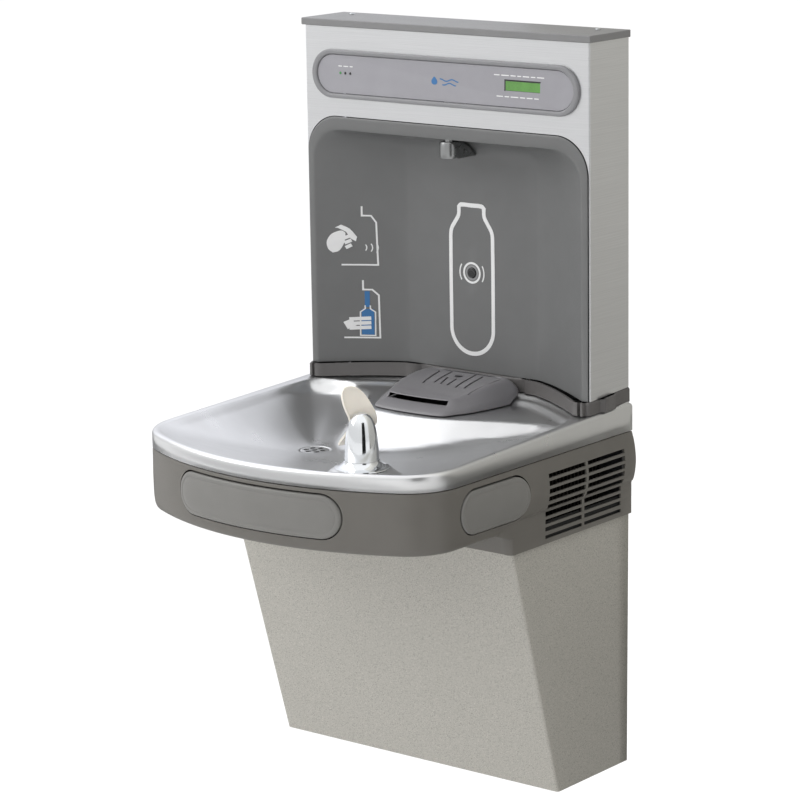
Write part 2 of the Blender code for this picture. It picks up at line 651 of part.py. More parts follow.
def switches():
    y = arc_front(0.0) + 13.0
    rod = revolve([(2.2, y + GAP), (2.2, y + 16.0)], axis="y", at=(0.0, FRONT_BAR_Z - 4.0), n=10)
    put("front_switch_plunger", rod, CREAM, origin=(0.0, y + 8.0, FRONT_BAR_Z - 4.0))
    spec = (-16.0, 16.0, y + 7.0, y + 34.0, FRONT_BAR_Z - 14.0, FRONT_BAR_Z + 6.0)
    body = put("front_switch", boxes(spec), BLACK)
    hole = revolve([(2.6, y), (2.6, y + 22.0)], axis="y", at=(0.0, FRONT_BAR_Z - 4.0), n=12)
    combine(body, cutter("front_switch_bore", hole))
    mid = sum(SIDE_BAR_Y) / 2
    for s, name in ((-1, "left"), (1, "right")):
        x = SIDE_BAR_BACK
        rod = [(2.2, s * (x - GAP)), (2.2, s * (x - 15.0))]
        put(name + "_switch_plunger", revolve(rod, axis="x", at=(mid, SIDE_BAR_Z - 4.0), n=10), CREAM,
            origin=(s * (x - 8.0), mid, SIDE_BAR_Z - 4.0))
        x0, x1 = sorted((s * (x - 6.5), s * (x - 32.0)))
        spec = (x0, x1, mid - 16.0, mid + 16.0, SIDE_BAR_Z - 14.0, SIDE_BAR_Z + 6.0)
        body = put(name + "_switch", boxes(spec), BLACK)
        hole = revolve([(2.6, s * x), (2.6, s * (x - 21.0))], axis="x", at=(mid, SIDE_BAR_Z - 4.0), n=12)
        combine(body, cutter(name + "_switch_bore", hole))


# ------------------------------------------------------------------ cabinet and chassis
def lower_panel():
    grid = []
    for inset, z in ((12.0, 0.0), (0.0, 0.0), (0.0, 120.0), (0.0, 240.0), (0.0, PANEL_TOP)):
        k = z / PANEL_TOP
        half = PANEL_HALF_LOW + (PANEL_HALF_TOP - PANEL_HALF_LOW) * k - inset
        front = PANEL_FRONT_LOW + PANEL_SLOPE * z - inset
        r = PANEL_CORNER - 0.1 * inset
        row = [(half, -0.6, z), (half, -70.0, z), (half, -front + r, z)]
        for i in range(1, 6):
            a = math.pi / 2 * i / 5
            row.append((half - r + r * math.cos(a), -front + r - r * math.sin(a), z))
        row.append((0.0, -front, z))
        grid.append(row + [(-x, y, zz) for x, y, zz in reversed(row[:-1])])
    put("lower_cabinet_panel", loft(grid, closed=False, caps=(False, False)), GRANITE, solid=1.2)


def chassis():
    section = [(-226.0, -9.0), (-226.0, -4.0), (226.0, -4.0), (226.0, -9.0), (224.8, -9.0),
               (224.8, -5.2), (-224.8, -5.2), (-224.8, -9.0)]
    back = put("back_panel", prism(section, "z", 3.0, 953.0), GALVANISED)
    combine(back, cutter("hanger_window", boxes((-146.0, 146.0, -8.0, -1.0, 422.0, 428.4))))
    hook = [(0.0, 372.0), (0.0, 428.0), (-6.6, 428.0), (-6.6, 440.0), (-8.2, 440.0), (-8.2, 426.2),
            (-2.0, 426.2), (-2.0, 372.0)]
    hanger = put("wall_hanger", prism(hook, "x", -140.0, 140.0), GALVANISED)
    bolts = bmesh.new()
    for x in (-100.0, 100.0):
        revolve([(4.0, -4.0), (4.0, 2.0)], axis="y", at=(x, 386.0), n=14, bm=bolts)
    combine(hanger, cutter("hanger_holes", bolts))
    shelf = [(-5.6, 14.0), (-5.6, 40.0), (-7.2, 40.0), (-7.2, 15.8), (-146.4, 15.8), (-146.4, 24.0),
             (-148.0, 24.0), (-148.0, 14.0)]
    put("compressor_shelf", prism(shelf, "x", -30.0, 222.0), GALVANISED)
    feet = put("compressor_feet", boxes((38.0, 166.0, -138.0, -26.0, 22.0, 24.0)), GALVANISED)
    pads = bmesh.new()
    for fx in (50.0, 154.0):
        for fy in (-128.0, -36.0):
            revolve([(9.0, 16.2), (9.0, 22.6)], at=(fx, fy), n=12, bm=pads)
    combine(feet, cutter("feet_pads", pads), "UNION")
    dome = [(34.0, 24.4), (50.0, 30.0), (56.0, 44.0), (56.0, 66.0), (57.6, 67.0), (57.6, 72.0), (56.0, 73.0),
            (56.0, 108.0), (50.0, 128.0), (36.0, 141.0), (14.0, 147.0)]
    put("compressor", revolve(dome, at=(102.0, -82.0), n=18, sx=1.16), BLACK)


def cooling_parts():
    fins = []
    y0, y1, pitch = -190.0, -31.0, 8.0
    fins.append((174.6, y0))
    y = y0
    while y + pitch < y1:
        fins += [(210.0, y), (210.0, y + 3.0), (190.0, y + 3.0), (190.0, y + pitch)]
        y += pitch
    fins += [(210.0, y), (210.0, y + 3.0), (174.6, y + 3.0)]
    put("condenser", prism(fins, "z", 222.0, 420.0), COPPER)
    cy, cz = FAN_AXIS
    plate = [(-6.0, 212.0), (-6.0, 426.0), (-195.0, 426.0), (-195.0, 212.0)]
    shroud_plate = put("fan_shroud", prism(plate, "x", 172.0, 174.0), GALVANISED)
    opening = revolve([(66.0, 168.0), (66.0, 178.0)], axis="x", at=FAN_AXIS, n=32)
    combine(shroud_plate, cutter("fan_opening", opening))
    can = revolve([(24.0, 96.0), (29.0, 99.0), (29.0, 137.0), (24.0, 140.0)], axis="x", at=FAN_AXIS, n=20)
    motor = put("fan_motor", can, BLACK)
    for name, spec in (("motor_arm_a", (128.0, 132.0, cy - 80.0, cy + 80.0, cz - 6.0, cz + 6.0)),
                       ("motor_arm_b", (128.5, 171.6, cy - 79.9, cy - 72.0, cz - 5.9, cz + 5.9)),
                       ("motor_arm_c", (128.5, 171.6, cy + 72.0, cy + 79.9, cz - 5.9, cz + 5.9))):
        combine(motor, cutter(name, boxes(spec)), "UNION")
    bore = revolve([(3.4, 128.0), (3.4, 145.0)], axis="x", at=FAN_AXIS, n=14)
    combine(motor, cutter("motor_bore", bore))
    hub = put("fan_blade", revolve([(3.0, 130.0), (3.0, 146.0), (15.0, 146.0), (15.0, 162.0), (11.0, 165.0)],
                                   axis="x", at=FAN_AXIS, n=20), BLACK, origin=(154.0, cy, cz))
    blades = bmesh.new()
    for k in range(5):
        a0 = 2 * math.pi * k / 5
        rings = []
        for r, half in ((12.0, 0.34), (36.0, 0.42), (60.0, 0.40)):
            ring = []
            for side, dx in ((1, 0.8), (-1, 0.8), (-1, -0.8), (1, -0.8)):
                a = a0 + side * half
                xx = 154.0 + side * (6.0 if r > 20.0 else 4.5) + dx
                ring.append((xx, cy + r * math.cos(a), cz + r * math.sin(a)))
            rings.append(ring)
        loft(rings, bm=blades)
    combine(hub, cutter("fan_blades_form", blades), "UNION")

    tank = [(-122.0, -5.7), (12.0, -5.7)]
    for i in range(13):
        a = math.pi * i / 12
        tank.append((-55.0 + 67.0 * math.cos(a), -95.0 - 67.0 * math.sin(a)))
    put("cold_tank", prism(tank, "z", 165.0, 345.0), FOAM)
    case = put("thermostat", boxes((-72.0, -38.0, -200.0, -162.6, 262.0, 300.0)), WHITE)
    bore = revolve([(3.2, -205.0), (3.2, -180.0)], axis="y", at=(-55.0, 281.0), n=14)
    combine(case, cutter("spindle_bore", bore))
    knob = [(3.0, -182.0), (3.0, -200.4), (7.0, -200.4), (7.0, -207.0)]
    spin = revolve(knob, axis="y", at=(-55.0, 281.0), n=14)
    dial = put("thermostat_spindle", spin, WHITE, origin=(-55.0, -195.0, 281.0))
    slot = boxes((-61.0, -49.0, -208.0, -205.6, 280.2, 281.8))
    combine(dial, cutter("spindle_slot", slot))
    path = bend([(-55.0, -110.0, 164.6), (-55.0, -110.0, 120.0), (20.0, -60.0, 120.0), (20.0, -60.0, 176.0),
                 (102.0, -82.0, 176.0), (102.0, -82.0, 147.4)], radius=16.0)
    tube("suction_line", path, 4.0, COPPER)


def water_parts():
    at = (-190.0, -75.0)
    cap = revolve([(30.0, 266.0), (33.0, 269.0), (33.0, 306.0), (28.0, 311.0)], at=at, n=18)
    head = put("filter_head", cap, BLACK)
    combine(head, cutter("filter_bracket", boxes((-214.0, -166.0, -60.0, -5.7, 274.0, 304.0))), "UNION")
    combine(head, cutter("filter_socket", revolve([(18.5, 250.0), (18.5, 293.0)], at=at, n=18)))
    profile = [(20.0, 40.0), (29.0, 44.0), (31.0, 54.0), (31.0, 248.0), (27.0, 260.0), (18.0, 264.0),
               (18.0, 292.0)]
    put("filter_cartridge", revolve(profile, at=at, n=18), WHITE, origin=(-190.0, -75.0, 150.0))
    valve = put("bubbler_solenoid", boxes((-214.0, -176.0, -44.0, -5.7, 320.0, 340.0)), WHITE)
    coil = revolve([(15.0, 339.0), (15.0, 364.0)], at=(-195.0, -25.0), n=16)
    combine(valve, cutter("bubbler_coil", coil), "UNION")
    valve = put("filler_solenoid", boxes((-18.0, 18.0, -82.0, -44.0, 841.0, 862.0)), WHITE)
    coil = revolve([(14.0, 861.0), (14.0, 892.0)], at=(0.0, -61.0), n=16)
    combine(valve, cutter("filler_coil", coil), "UNION")

    at = (62.0, -386.0)
    barrel = revolve([(9.0, 386.0), (13.0, 388.0), (13.0, 420.0), (9.0, 422.0)], at=at, n=18)
    body = put("regulator", barrel, BRASS)
    arm = revolve([(5.0, 70.0), (5.0, 92.0)], axis="x", at=(-386.0, 404.0), n=12)
    combine(body, cutter("regulator_arm", arm), "UNION")
    foot = boxes((52.0, 72.0, -396.0, -376.0, 372.3, 387.0))
    combine(body, cutter("regulator_foot", foot), "UNION")
    combine(body, cutter("screw_bore", revolve([(3.3, 412.0), (3.3, 430.0)], at=at, n=14)))
    shank = revolve([(3.0, 413.0), (3.0, 422.4), (6.0, 422.4), (6.0, 426.6), (5.0, 427.6)], at=at, n=14)
    screw = put("regulator_screw", shank, GALVANISED, origin=(62.0, -386.0, 420.0))
    combine(screw, cutter("screw_slot", boxes((55.0, 69.0, -386.7, -385.3, 426.0, 429.0))))
    path = bend([(92.4, -386.0, 404.0), (105.0, -386.0, 404.0), (105.0, -386.0, 435.6)], radius=12.0)
    tube("bubbler_water_tube", path, 3.4, WHITE)
    path = bend([(-195.0, -44.4, 330.0), (-195.0, -130.0, 330.0), (-185.0, -220.0, 388.0),
                 (-110.0, -360.0, 392.0), (0.0, -386.0, 404.0), (48.6, -386.0, 404.0)], radius=24.0, steps=2)
    tube("regulator_feed_tube", path, 3.4, WHITE)
    path = bend([(-55.0, -30.0, 345.4), (-55.0, -30.0, 380.0), (80.0, -13.0, 400.0), (80.0, -13.0, 470.0),
                 (80.0, -15.0, 852.0), (50.0, -60.0, 852.0), (18.4, -60.0, 852.0)], radius=18.0)
    tube("filler_water_tube", path, 3.4, WHITE)
    inlet = put("power_inlet", revolve([(8.0, -5.6), (14.0, -5.6), (14.0, -14.0), (8.0, -22.0)], axis="y",
                                       at=(-90.0, 60.0), n=16), BLACK)
    bore = revolve([(4.5, -26.0), (4.5, -2.0)], axis="y", at=(-90.0, 60.0), n=12)
    combine(inlet, cutter("inlet_bore", bore))


# ------------------------------------------------------------------ tower
def base_trim():
    front = [(232.4, -89.0), (230.0, -91.4), (213.0, -91.0)]
    front += [(x, trim_y(x)) for x in (199.0, 186.0, 172.0, 158.0, 144.0, 130.0, 118.0, 105.0, 52.0)]
    front.append((0.0, trim_y(0.0)))
    back = [(226.7, -0.7), (226.7, -80.0), (212.0, -80.0), (199.0, trim_y(199.0) + 8.0)]
    back += [(x, trim_y(x) + 8.0) for x in (186.0, 172.0, 158.0, 144.0, 130.0, 118.0, 105.0, 52.0)]
    back.append((0.0, trim_y(0.0) + 8.0))
    outer = [(232.4, -0.7)] + front
    ring_front = mirror(outer)
    ring_back = mirror(back)
    ring = ring_front + list(reversed(ring_back))
    rows = []
    for top in (False, True):
        rows.append([(x, y, trim_top(y) if top else rim_z(y) + 0.6) for x, y in ring])
    put("base_trim", loft(rows), TRIM_DARK)


def tower_wrapper():
    h, d, t = TOWER_HALF, TOWER_DEPTH, 1.2
    outer = [(h, -0.7), (h, -40.0), (h, -d + 3.0), (h - 1.0, -d + 0.9), (h - 3.0, -d), (0.0, -d)]
    inner = [(h - t, -0.7), (h - t, -40.0), (h - t, -d + 3.2), (h - t - 0.8, -d + t + 0.8),
             (h - 3.2, -d + t), (0.0, -d + t)]
    ring = mirror(outer) + list(reversed(mirror(inner)))
    rows = [[(x, y, trim_top(y) + 0.4) for x, y in ring], [(x, y, TOWER_TOP) for x, y in ring]]
    obj = put("tower_wrapper", loft(rows), STEEL)
    r = 50.0
    half, top = FLANGE_HALF + 1.0, FLANGE_TOP + 1.0
    arch = [(half, 400.0)]
    for i in range(9):
        a = math.pi / 2 * i / 8
        arch.append((half - r + r * math.cos(a), top - r + r * math.sin(a)))
    arch += [(-x, z) for x, z in reversed(arch)]
    combine(obj, cutter("alcove_opening", prism(arch, "y", -100.0, -80.0)))
    window = [(x, z + 895.0) for x, z in pill(209.2, 28.2)]
    combine(obj, cutter("control_opening", prism(window, "y", -100.0, -80.0)))


def top_cover():
    x, y0, y1, r = 234.0, -90.0, -0.7, 3.0
    ring = [(x, y1), (x, y0 + r), (x - 0.9, y0 + 0.9), (x - r, y0), (-x + r, y0), (-x + 0.9, y0 + 0.9),
            (-x, y0 + r), (-x, y1)]
    inner = [(a * 0.9955, b + (1.0 if b < -50.0 else 0.0)) for a, b in ring]
    z0, z1 = TOWER_TOP + GAP, COVER_TOP
    rows = [[(a, b, z0) for a, b in ring], [(a, b, z1 - 1.2) for a, b in ring]]
    rows.append([(a, b, z1) for a, b in inner])
    obj = put("top_cover", loft(rows), COVER_GREY)
    holes = bmesh.new()
    for s in (-1, 1):
        revolve([(2.1, 950.0), (2.1, 980.0)], at=(s * 200.0, -24.0), n=12, bm=holes)
    combine(obj, cutter("cover_holes", holes))
    for s, name in ((-1, "cover_screw_left"), (1, "cover_screw_right")):
        z = COVER_TOP + 0.3
        prof = [(1.8, z - 8.0), (1.8, z), (3.8, z), (3.4, z + 1.2), (1.8, z + 1.9)]
        at = (s * 200.0, -24.0)
        screw = put(name, revolve(prof, at=at, n=14), GALVANISED, origin=(*at, z))
        slot = boxes((s * 200.0 - 2.4, s * 200.0 + 2.4, -24.4, -23.6, z + 1.1, z + 3.0))
        combine(screw, cutter(name + "_slot", slot))


def controls():
    cz = 895.5
    rings = []
    for half_w, half_h, y in ((216.5, 32.3, -86.85), (216.5, 32.3, -89.4), (215.0, 30.8, -91.2),
                              (209.6, 27.6, -91.2), (207.9, 25.9, -89.8), (207.9, 25.9, -86.85)):
        rings.append([(x, y, z + cz) for x, z in pill(half_w, half_h)])
    put("control_bezel", loft(rings + [rings[0]], caps=(False, False)), BEZEL_GREY)
    plate = prism([(x, z + cz) for x, z in pill(207.3, 25.2)], "y", -88.6, -84.0)
    face = put("control_face", plate, FACE_GREY)
    holes = bmesh.new()
    add_box(holes, 101.7, 156.3, -95.0, -80.0, 890.7, 903.3)
    for x in (-169.0, -160.6, -152.2):
        revolve([(1.9, -95.0), (1.9, -80.0)], axis="y", at=(x, 897.0), n=12, bm=holes)
    combine(face, cutter("face_holes", holes))
    put("lcd_display", boxes((102.0, 156.0, -88.2, -84.2, 891.0, 903.0)), ((0.20, 0.42, 0.10), 0.35, 0.0))
    for i, x in enumerate((-169.0, -160.6, -152.2)):
        look = ((0.10, 0.45, 0.12), 0.3, 0.0) if i == 0 else ((0.05, 0.05, 0.05), 0.3, 0.0)
        lamp = revolve([(1.6, -84.2), (1.6, -88.7), (0.9, -89.2)], axis="y", at=(x, 897.0), n=12)
        put("status_lamp_%d" % (i + 1), lamp, look)
    put("control_module", boxes((60.0, 200.0, -83.6, -58.0, 872.0, 918.0)), BLACK)


def alcove_liner():
    xs = [0.0, 52.0, 105.0, 122.0, 140.0, 158.0, 176.0, 192.0, 205.0, ALCOVE_HALF]
    levels = [(None, 1.0), (640.0, 1.0), (782.0, 1.0), (797.0, 0.92), (809.0, 0.74), (816.5, 0.48),
              (820.0, 0.2), (ALCOVE_TOP, 0.0)]
    r = 42.0
    grid = []
    for z, s in levels:
        row = []
        zz = 700.0 if z is None else z
        squeeze = 1.0
        if zz > ALCOVE_TOP - r:
            q = (zz - (ALCOVE_TOP - r)) / r
            squeeze = (ALCOVE_HALF - r * (1.0 - math.sqrt(max(0.0, 1.0 - q * q)))) / ALCOVE_HALF
        for x in xs:
            y = -TOWER_DEPTH + (alcove_y(x) + TOWER_DEPTH) * s
            px = x * squeeze
            row.append((px, y - 0.5, trim_top(y) + 0.4 if z is None else z))
        full = [(-x, y, q) for x, y, q in reversed(row[1:])] + row
        grid.append(full)
    bm = bmesh.new()
    rows = [[bm.verts.new(p) for p in ring] for ring in grid]
    for a, b in zip(rows, rows[1:]):
        for i in range(len(a) - 1):
            bm.faces.new((a[i], a[i + 1], b[i + 1], b[i]))
    edge = [row[-1] for row in rows] + list(reversed(rows[-1]))[1:-1] + [row[0] for row in reversed(rows)]
    out = []
    rr = 50.0
    top = FLANGE_TOP
    for k, v in enumerate(edge):
        x, z = v.co.x, v.co.z
        dx = FLANGE_HALF / ALCOVE_HALF
        if z < ALCOVE_TOP - r:
            px, pz = math.copysign(FLANGE_HALF, x), z
        else:
            cx, czz = ALCOVE_HALF - r, ALCOVE_TOP - r
            if abs(x) <= cx:
                px, pz = x * dx, top
            else:
                a = math.atan2(z - czz, abs(x) - cx)
                px = math.copysign(FLANGE_HALF - rr + rr * math.cos(a), x)
                pz = top - rr + rr * math.sin(a)
        out.append(bm.verts.new((px, -88.0, pz)))
    for a, b, c, d in zip(edge, edge[1:], out[1:], out):
        bm.faces.new((a, b, c, d))
    bmesh.ops.recalc_face_normals(bm, faces=bm.faces)
    obj = put("alcove_liner", bm, LINER_GREY, solid=2.0)
    cuts = revolve([(6.5, 800.0), (6.5, 850.0)], at=(0.0, -74.0), n=14)
    revolve([(7.3, -40.0), (7.3, -15.0)], axis="y", at=(0.0, 637.0), n=18, bm=cuts)
    combine(obj, cutter("liner_holes", cuts))


def alcove_parts():
    at = (0.0, -74.0)
    stem = [(8.0, 795.0), (12.6, 797.0), (13.0, 801.0), (13.0, 814.0), (12.0, 816.6), (6.0, 816.6),
            (6.0, 840.6)]
    nozzle = put("filler_nozzle", revolve(stem, at=at, n=20), CHROME)
    side = [(-74.0, 795.0), (-33.0, 795.0), (-36.0, 798.0), (-42.0, 802.5), (-50.0, 808.5), (-61.0, 814.0),
            (-74.0, 816.6)]
    combine(nozzle, cutter("nozzle_housing", prism(side, "x", -12.9, 12.9)), "UNION")
    combine(nozzle, cutter("nozzle_bore", revolve([(5.2, 780.0), (5.2, 812.0)], at=at, n=14)))
    lens = revolve([(6.8, -19.4), (6.8, -30.0), (5.6, -30.8)], axis="y", at=(0.0, 637.0), n=18)
    put("sensor_lens", lens, BLACK)
    put("sensor_module", boxes((-18.0, 18.0, -19.0, -7.0, 618.0, 656.0)), BLACK)


def build():
    clear_scene()
    chassis()
    lower_panel()
    shroud()
    basin()
    drain_parts()
    bubbler_parts()
    drip_tray()
    push_bars()
    switches()
    cooling_parts()
    water_parts()
    base_trim()
    tower_wrapper()
    top_cover()
    controls()
    alcove_liner()
    alcove_parts()


build()
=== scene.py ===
"""Looks of a wall-hung drinking fountain with a bottle-filling station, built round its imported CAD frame.

Shapes are written in millimetres in the cabinet frame: X across the front, front towards -Y, z = 0 on
the cabinet's lower edge. Driving sizes are read from the CAD nodes' own boxes.
"""

import math

import bmesh
import bpy
from mathutils import Matrix, Vector


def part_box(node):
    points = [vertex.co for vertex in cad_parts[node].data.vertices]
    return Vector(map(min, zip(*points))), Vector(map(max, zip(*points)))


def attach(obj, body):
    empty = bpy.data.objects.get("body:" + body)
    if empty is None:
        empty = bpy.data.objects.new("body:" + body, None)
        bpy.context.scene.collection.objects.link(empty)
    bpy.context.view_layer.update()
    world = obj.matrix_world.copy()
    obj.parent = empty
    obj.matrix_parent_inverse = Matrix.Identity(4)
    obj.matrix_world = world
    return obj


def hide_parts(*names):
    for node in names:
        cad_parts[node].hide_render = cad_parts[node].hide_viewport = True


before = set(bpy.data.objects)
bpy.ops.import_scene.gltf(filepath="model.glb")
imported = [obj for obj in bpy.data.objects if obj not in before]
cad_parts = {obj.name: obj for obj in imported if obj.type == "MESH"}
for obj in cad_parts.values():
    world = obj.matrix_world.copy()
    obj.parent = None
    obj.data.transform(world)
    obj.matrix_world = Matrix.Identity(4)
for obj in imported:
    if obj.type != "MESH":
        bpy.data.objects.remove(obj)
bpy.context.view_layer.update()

MM = 0.001               # metres in a millimetre
M = 1000.0               # millimetres in a metre
ROOT = "cooler"
HANG_Z = -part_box("lower_cabinet_panel")[0].z * M     # cabinet's lower edge to the frame's origin


def cad_box(node):
    """Lowest and highest corner of a CAD node in cabinet millimetres."""
    lo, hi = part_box(node)
    up = Vector((0.0, 0.0, HANG_Z))
    return lo * M + up, hi * M + up


def middle(node):
    """Middle of a CAD node's box in cabinet millimetres."""
    lo, hi = cad_box(node)
    return (lo + hi) / 2.0


# ------------------------------------------------------------------ sizes read from the CAD (mm)
BASIN_LO, BASIN_HI = cad_box("basin")
HALF = BASIN_HI.x                    # half width of the basin rim
DEPTH = -BASIN_LO.y                  # wall to the front of the rim
RIM_BACK = BASIN_HI.z                # rim height at the wall
TOWER_LO, TOWER_HI = cad_box("tower_wrapper")
TOWER_DEPTH = -TOWER_LO.y
PANEL_TOP = cad_box("lower_cabinet_panel")[1].z
LINER_HI = cad_box("alcove_liner")[1]
SENSOR_Z = middle("sensor_lens").z
DRAIN = middle("drain_strainer")
DRAIN_Z = cad_box("drain_strainer")[1].z
BUBBLER = middle("bubbler_flange")
PAD_Z = cad_box("bubbler_flange")[0].z - 0.3
BAR = middle("front_push_bar")
BAR_HALF_X = cad_box("front_push_bar")[1].x
SIDE_LO, SIDE_HI = cad_box("right_push_bar")

# ------------------------------------------------------------------ sizes of the shapes between them (mm)
WALL_GAP = 0.6           # clearance between the open shells and the wall
SHEET = 1.2              # thickness of the stainless and painted sheet
ARC = 427.9              # plan radius of the rim's front
FILLET = 75.0            # plan radius of the rim's front corners
ARC_Y = ARC - DEPTH      # centre of that arc
CORNER_X = HALF - FILLET
CORNER_Y = ARC_Y - math.sqrt((ARC - FILLET) ** 2 - CORNER_X ** 2)
RIM_RISE = 17.0          # how much the rim rises towards the wall
SKIRT_Z = 450.2          # lower edge of the rim's outer band
NOTCH_DEPTH = 24.0       # notch in the basin's back that clears the chassis
NOTCH_HALF = 229.2
LIP = 2.2                # the bowl's edge below the rim
DECK_Z = 474.4           # flat deck that carries the drip tray
LEDGE = 6.0              # step of the deck in front of the base trim
BEAD = 7.0               # bead between the base trim and the bowl
BOWL_CURVE = 1.5         # exponent of the bowl's fall towards the drain
BOWL_RINGS = 56          # rings of the bowl inside its finely divided edge
BLEND = (6.0, 60.0)      # rounding between bowl and deck, at the drain and away from it
DRAIN_HOLE = 19.0        # radius of the hole that the strainer fills
DRAIN_SLOT = (3.3, 4.6)  # half axes of a slot in the strainer
SLOT_CIRCLE = 11.2       # radius on which six slots stand round the seventh
PAD_RADIUS = 35.5        # flat pad under the bubbler
PAD_SLOPE = 0.85
ALCOVE_HALF = 217.0
ALCOVE_FLAT = 105.0      # half width of the alcove's flat middle
ALCOVE_BACK = 28.0       # wall to the flat middle of the alcove
ALCOVE_TOP = 821.0
ALCOVE_ROUND = 42.0      # corner radius of the alcove's mouth
FLANGE_ROUND = 50.0      # corner radius of the liner's flange
FLANGE_Y = -88.0
PLAN_CURVE = 1.3         # exponent of the plan curve that the alcove and the base trim share
TRIM_HALF = 213.0        # half width of the base trim's curved part
TRIM_BACK = 31.0         # wall to the middle of the base trim
TRIM_DEPTH = 91.0        # wall to the front of the base trim
TRIM_TOP = 501.2         # top of the base trim at its front
TRIM_RISE = 5.0
PANEL_HALF = 228.0       # half width of the cabinet at its foot
PANEL_FLARE = 2.6
PANEL_FRONT = 157.0      # depth of the cabinet at its foot
PANEL_SLOPE = 0.289      # forward lean of the cabinet's front
PANEL_ROUND = 4.0        # its corner radius
PANEL_HEM = 12.0         # width of the flange turned in under the cabinet
COLLAR_HALF = 234.9
COLLAR_FRONT = 270.0
COLLAR_ROUND = 13.0
COLLAR_SHEET = 2.8
COLLAR_TURN = 262.0      # wall to where the shroud's columns begin to turn round the collar's corner
COLLAR_TOP = 369.3
COLLAR_LOW = 339.4
BAR_HALF_Z = 27.6
PORT_GAP = 1.7           # gap round a push bar
SIDE_PORT = (215.0, 258.0)     # the ports are cut between these places
FRONT_PORT = (-440.0, -505.0)
JET_Z = 518.0            # height of the water's way out of the spout and through the guard
GUARD_LEAN = 0.5         # how far the mouth guard's width turns from Y towards X
GUARD_SHEET = 2.6
TRAY_REAR = -35.0
TRAY_FRONT = -174.0
STRIP_Z = 895.5          # height of the control strip's middle
STRIP_CORE = (209.2, 28.2)    # half width and half height of the hole that the strip fills
INK_BACK = -88.62        # printed marks on the strip lie between these two planes
INK_FRONT = -88.75
FILLER = (0.0, -74.0)    # plan position of the filler's outlet

# (inset, drop below the rim) over the basin's rolled rim; the first point is the skirt's lower edge
RIM_PROFILE = ((0.0, None), (0.0, 6.2), (0.0, 4.6), (0.3, 3.1), (1.0, 1.8), (2.1, 0.8), (3.5, 0.2),
               (5.0, 0.0), (6.8, 0.05), (8.4, 0.5))
# (inset, drop below its top) round the base trim; without a drop the point lies on the basin's rim
TRIM_PROFILE = ((0.0, None), (0.0, 3.0), (0.35, 1.6), (1.2, 0.5), (2.6, 0.0), (7.0, 0.0), (7.0, None))
# (x, y) of the line in front of which the deck begins to fall into the bowl, and its (x, slope)
DECK_EDGE = ((-236.0, -128.0), (-226.0, -118.0), (-210.0, -97.0), (-186.0, -84.0), (-150.0, -84.0),
             (-118.0, -100.0), (-96.0, -134.0), (-76.0, -164.0), (-50.0, -178.0), (0.0, -181.0),
             (50.0, -177.0), (80.0, -166.0), (130.0, -143.0), (178.0, -125.0), (225.0, -130.0))
DECK_FALL = ((-118.0, 0.9), (-96.0, 0.85), (-50.0, 0.70), (0.0, 0.66), (60.0, 0.66))
# half plan of the drip tray's foot, then (y, height) of its top and (y, half width) of crest and foot
TRAY_PLAN = ((0.0, -35.0), (40.0, -35.5), (70.0, -36.5), (82.5, -40.0), (85.0, -54.0), (82.8, -82.0),
             (78.1, -109.0), (71.6, -134.0), (63.5, -152.0), (60.0, -161.0), (54.0, -168.0),
             (40.0, -171.5), (20.0, -173.5), (0.0, -174.0))
TRAY_TOP = ((-150.0, 492.0), (-128.0, 494.4), (-104.0, 499.2), (-75.0, 502.8), (-35.0, 503.8))
TRAY_CREST = ((-174.0, 50.0), (-149.0, 55.0), (-109.0, 62.5), (-76.0, 65.5), (-35.0, 66.0))
TRAY_FOOT = ((-174.0, 56.0), (-152.0, 63.5), (-134.0, 71.6), (-109.0, 78.1), (-82.0, 82.8), (-40.0, 85.0))
# (inward share, front edge, rise of the sides, rise of the front) from the tray's foot to its crest
TRAY_STEPS = ((0.0, -174.0, 0.0, 0.0), (-0.04, -173.6, 0.12, 0.08), (-0.03, -171.0, 0.28, 0.2),
              (0.06, -164.0, 0.44, 0.36), (0.3, -154.5, 0.64, 0.6), (0.52, -152.0, 0.80, 0.72),
              (0.78, -150.6, 0.93, 0.9), (0.95, -149.6, 0.99, 0.97), (1.12, -148.2, 1.0, 1.0),
              (1.3, -145.5, 0.985, 1.01), (1.5, -143.0, 0.95, 1.01))
# (x, y) at the rear, (x, y) at the front and half width of each slot in the tray's top
TRAY_SLOTS = ((-43.7, -43.0, -27.8, -101.2, 1.6), (-26.7, -38.4, -14.5, -94.0, 1.6),
              (-12.5, -66.5, -3.0, -95.0, 1.6), (3.5, -68.0, 9.0, -97.0, 1.6),
              (12.8, -38.3, 25.5, -100.7, 1.6), (27.3, -42.2, 38.7, -99.0, 1.6),
              (56.0, -41.0, 59.0, -118.0, 0.7))
# (inset, how far it stands proud) over a push bar's face: a rolled edge, a groove and a flat crown
BAR_FACE = ((0.0, -1.2), (0.15, 0.0), (0.6, 0.9), (1.4, 1.6), (2.4, 2.0), (4.6, 2.2), (5.6, 2.05),
            (6.2, 1.7), (6.9, 1.85), (8.2, 2.2), (12.0, 2.6), (17.0, 2.85), (22.0, 2.95))
# lower and upper edge of each louvre, and the two runs along the side that they share
LOUVRES = ((425.0, 430.6), (414.7, 421.5), (404.7, 411.2), (394.9, 401.2), (385.1, 390.7),
           (374.3, 380.7), (364.4, 370.6), (354.9, 360.6), (345.6, 350.1))
LOUVRE_RUNS = ((-191.0, -111.5), (-106.5, -25.0))
COVER_SCREWS = ("cover_screw_left", "cover_screw_right")
LAMPS = (1, 2, 3)


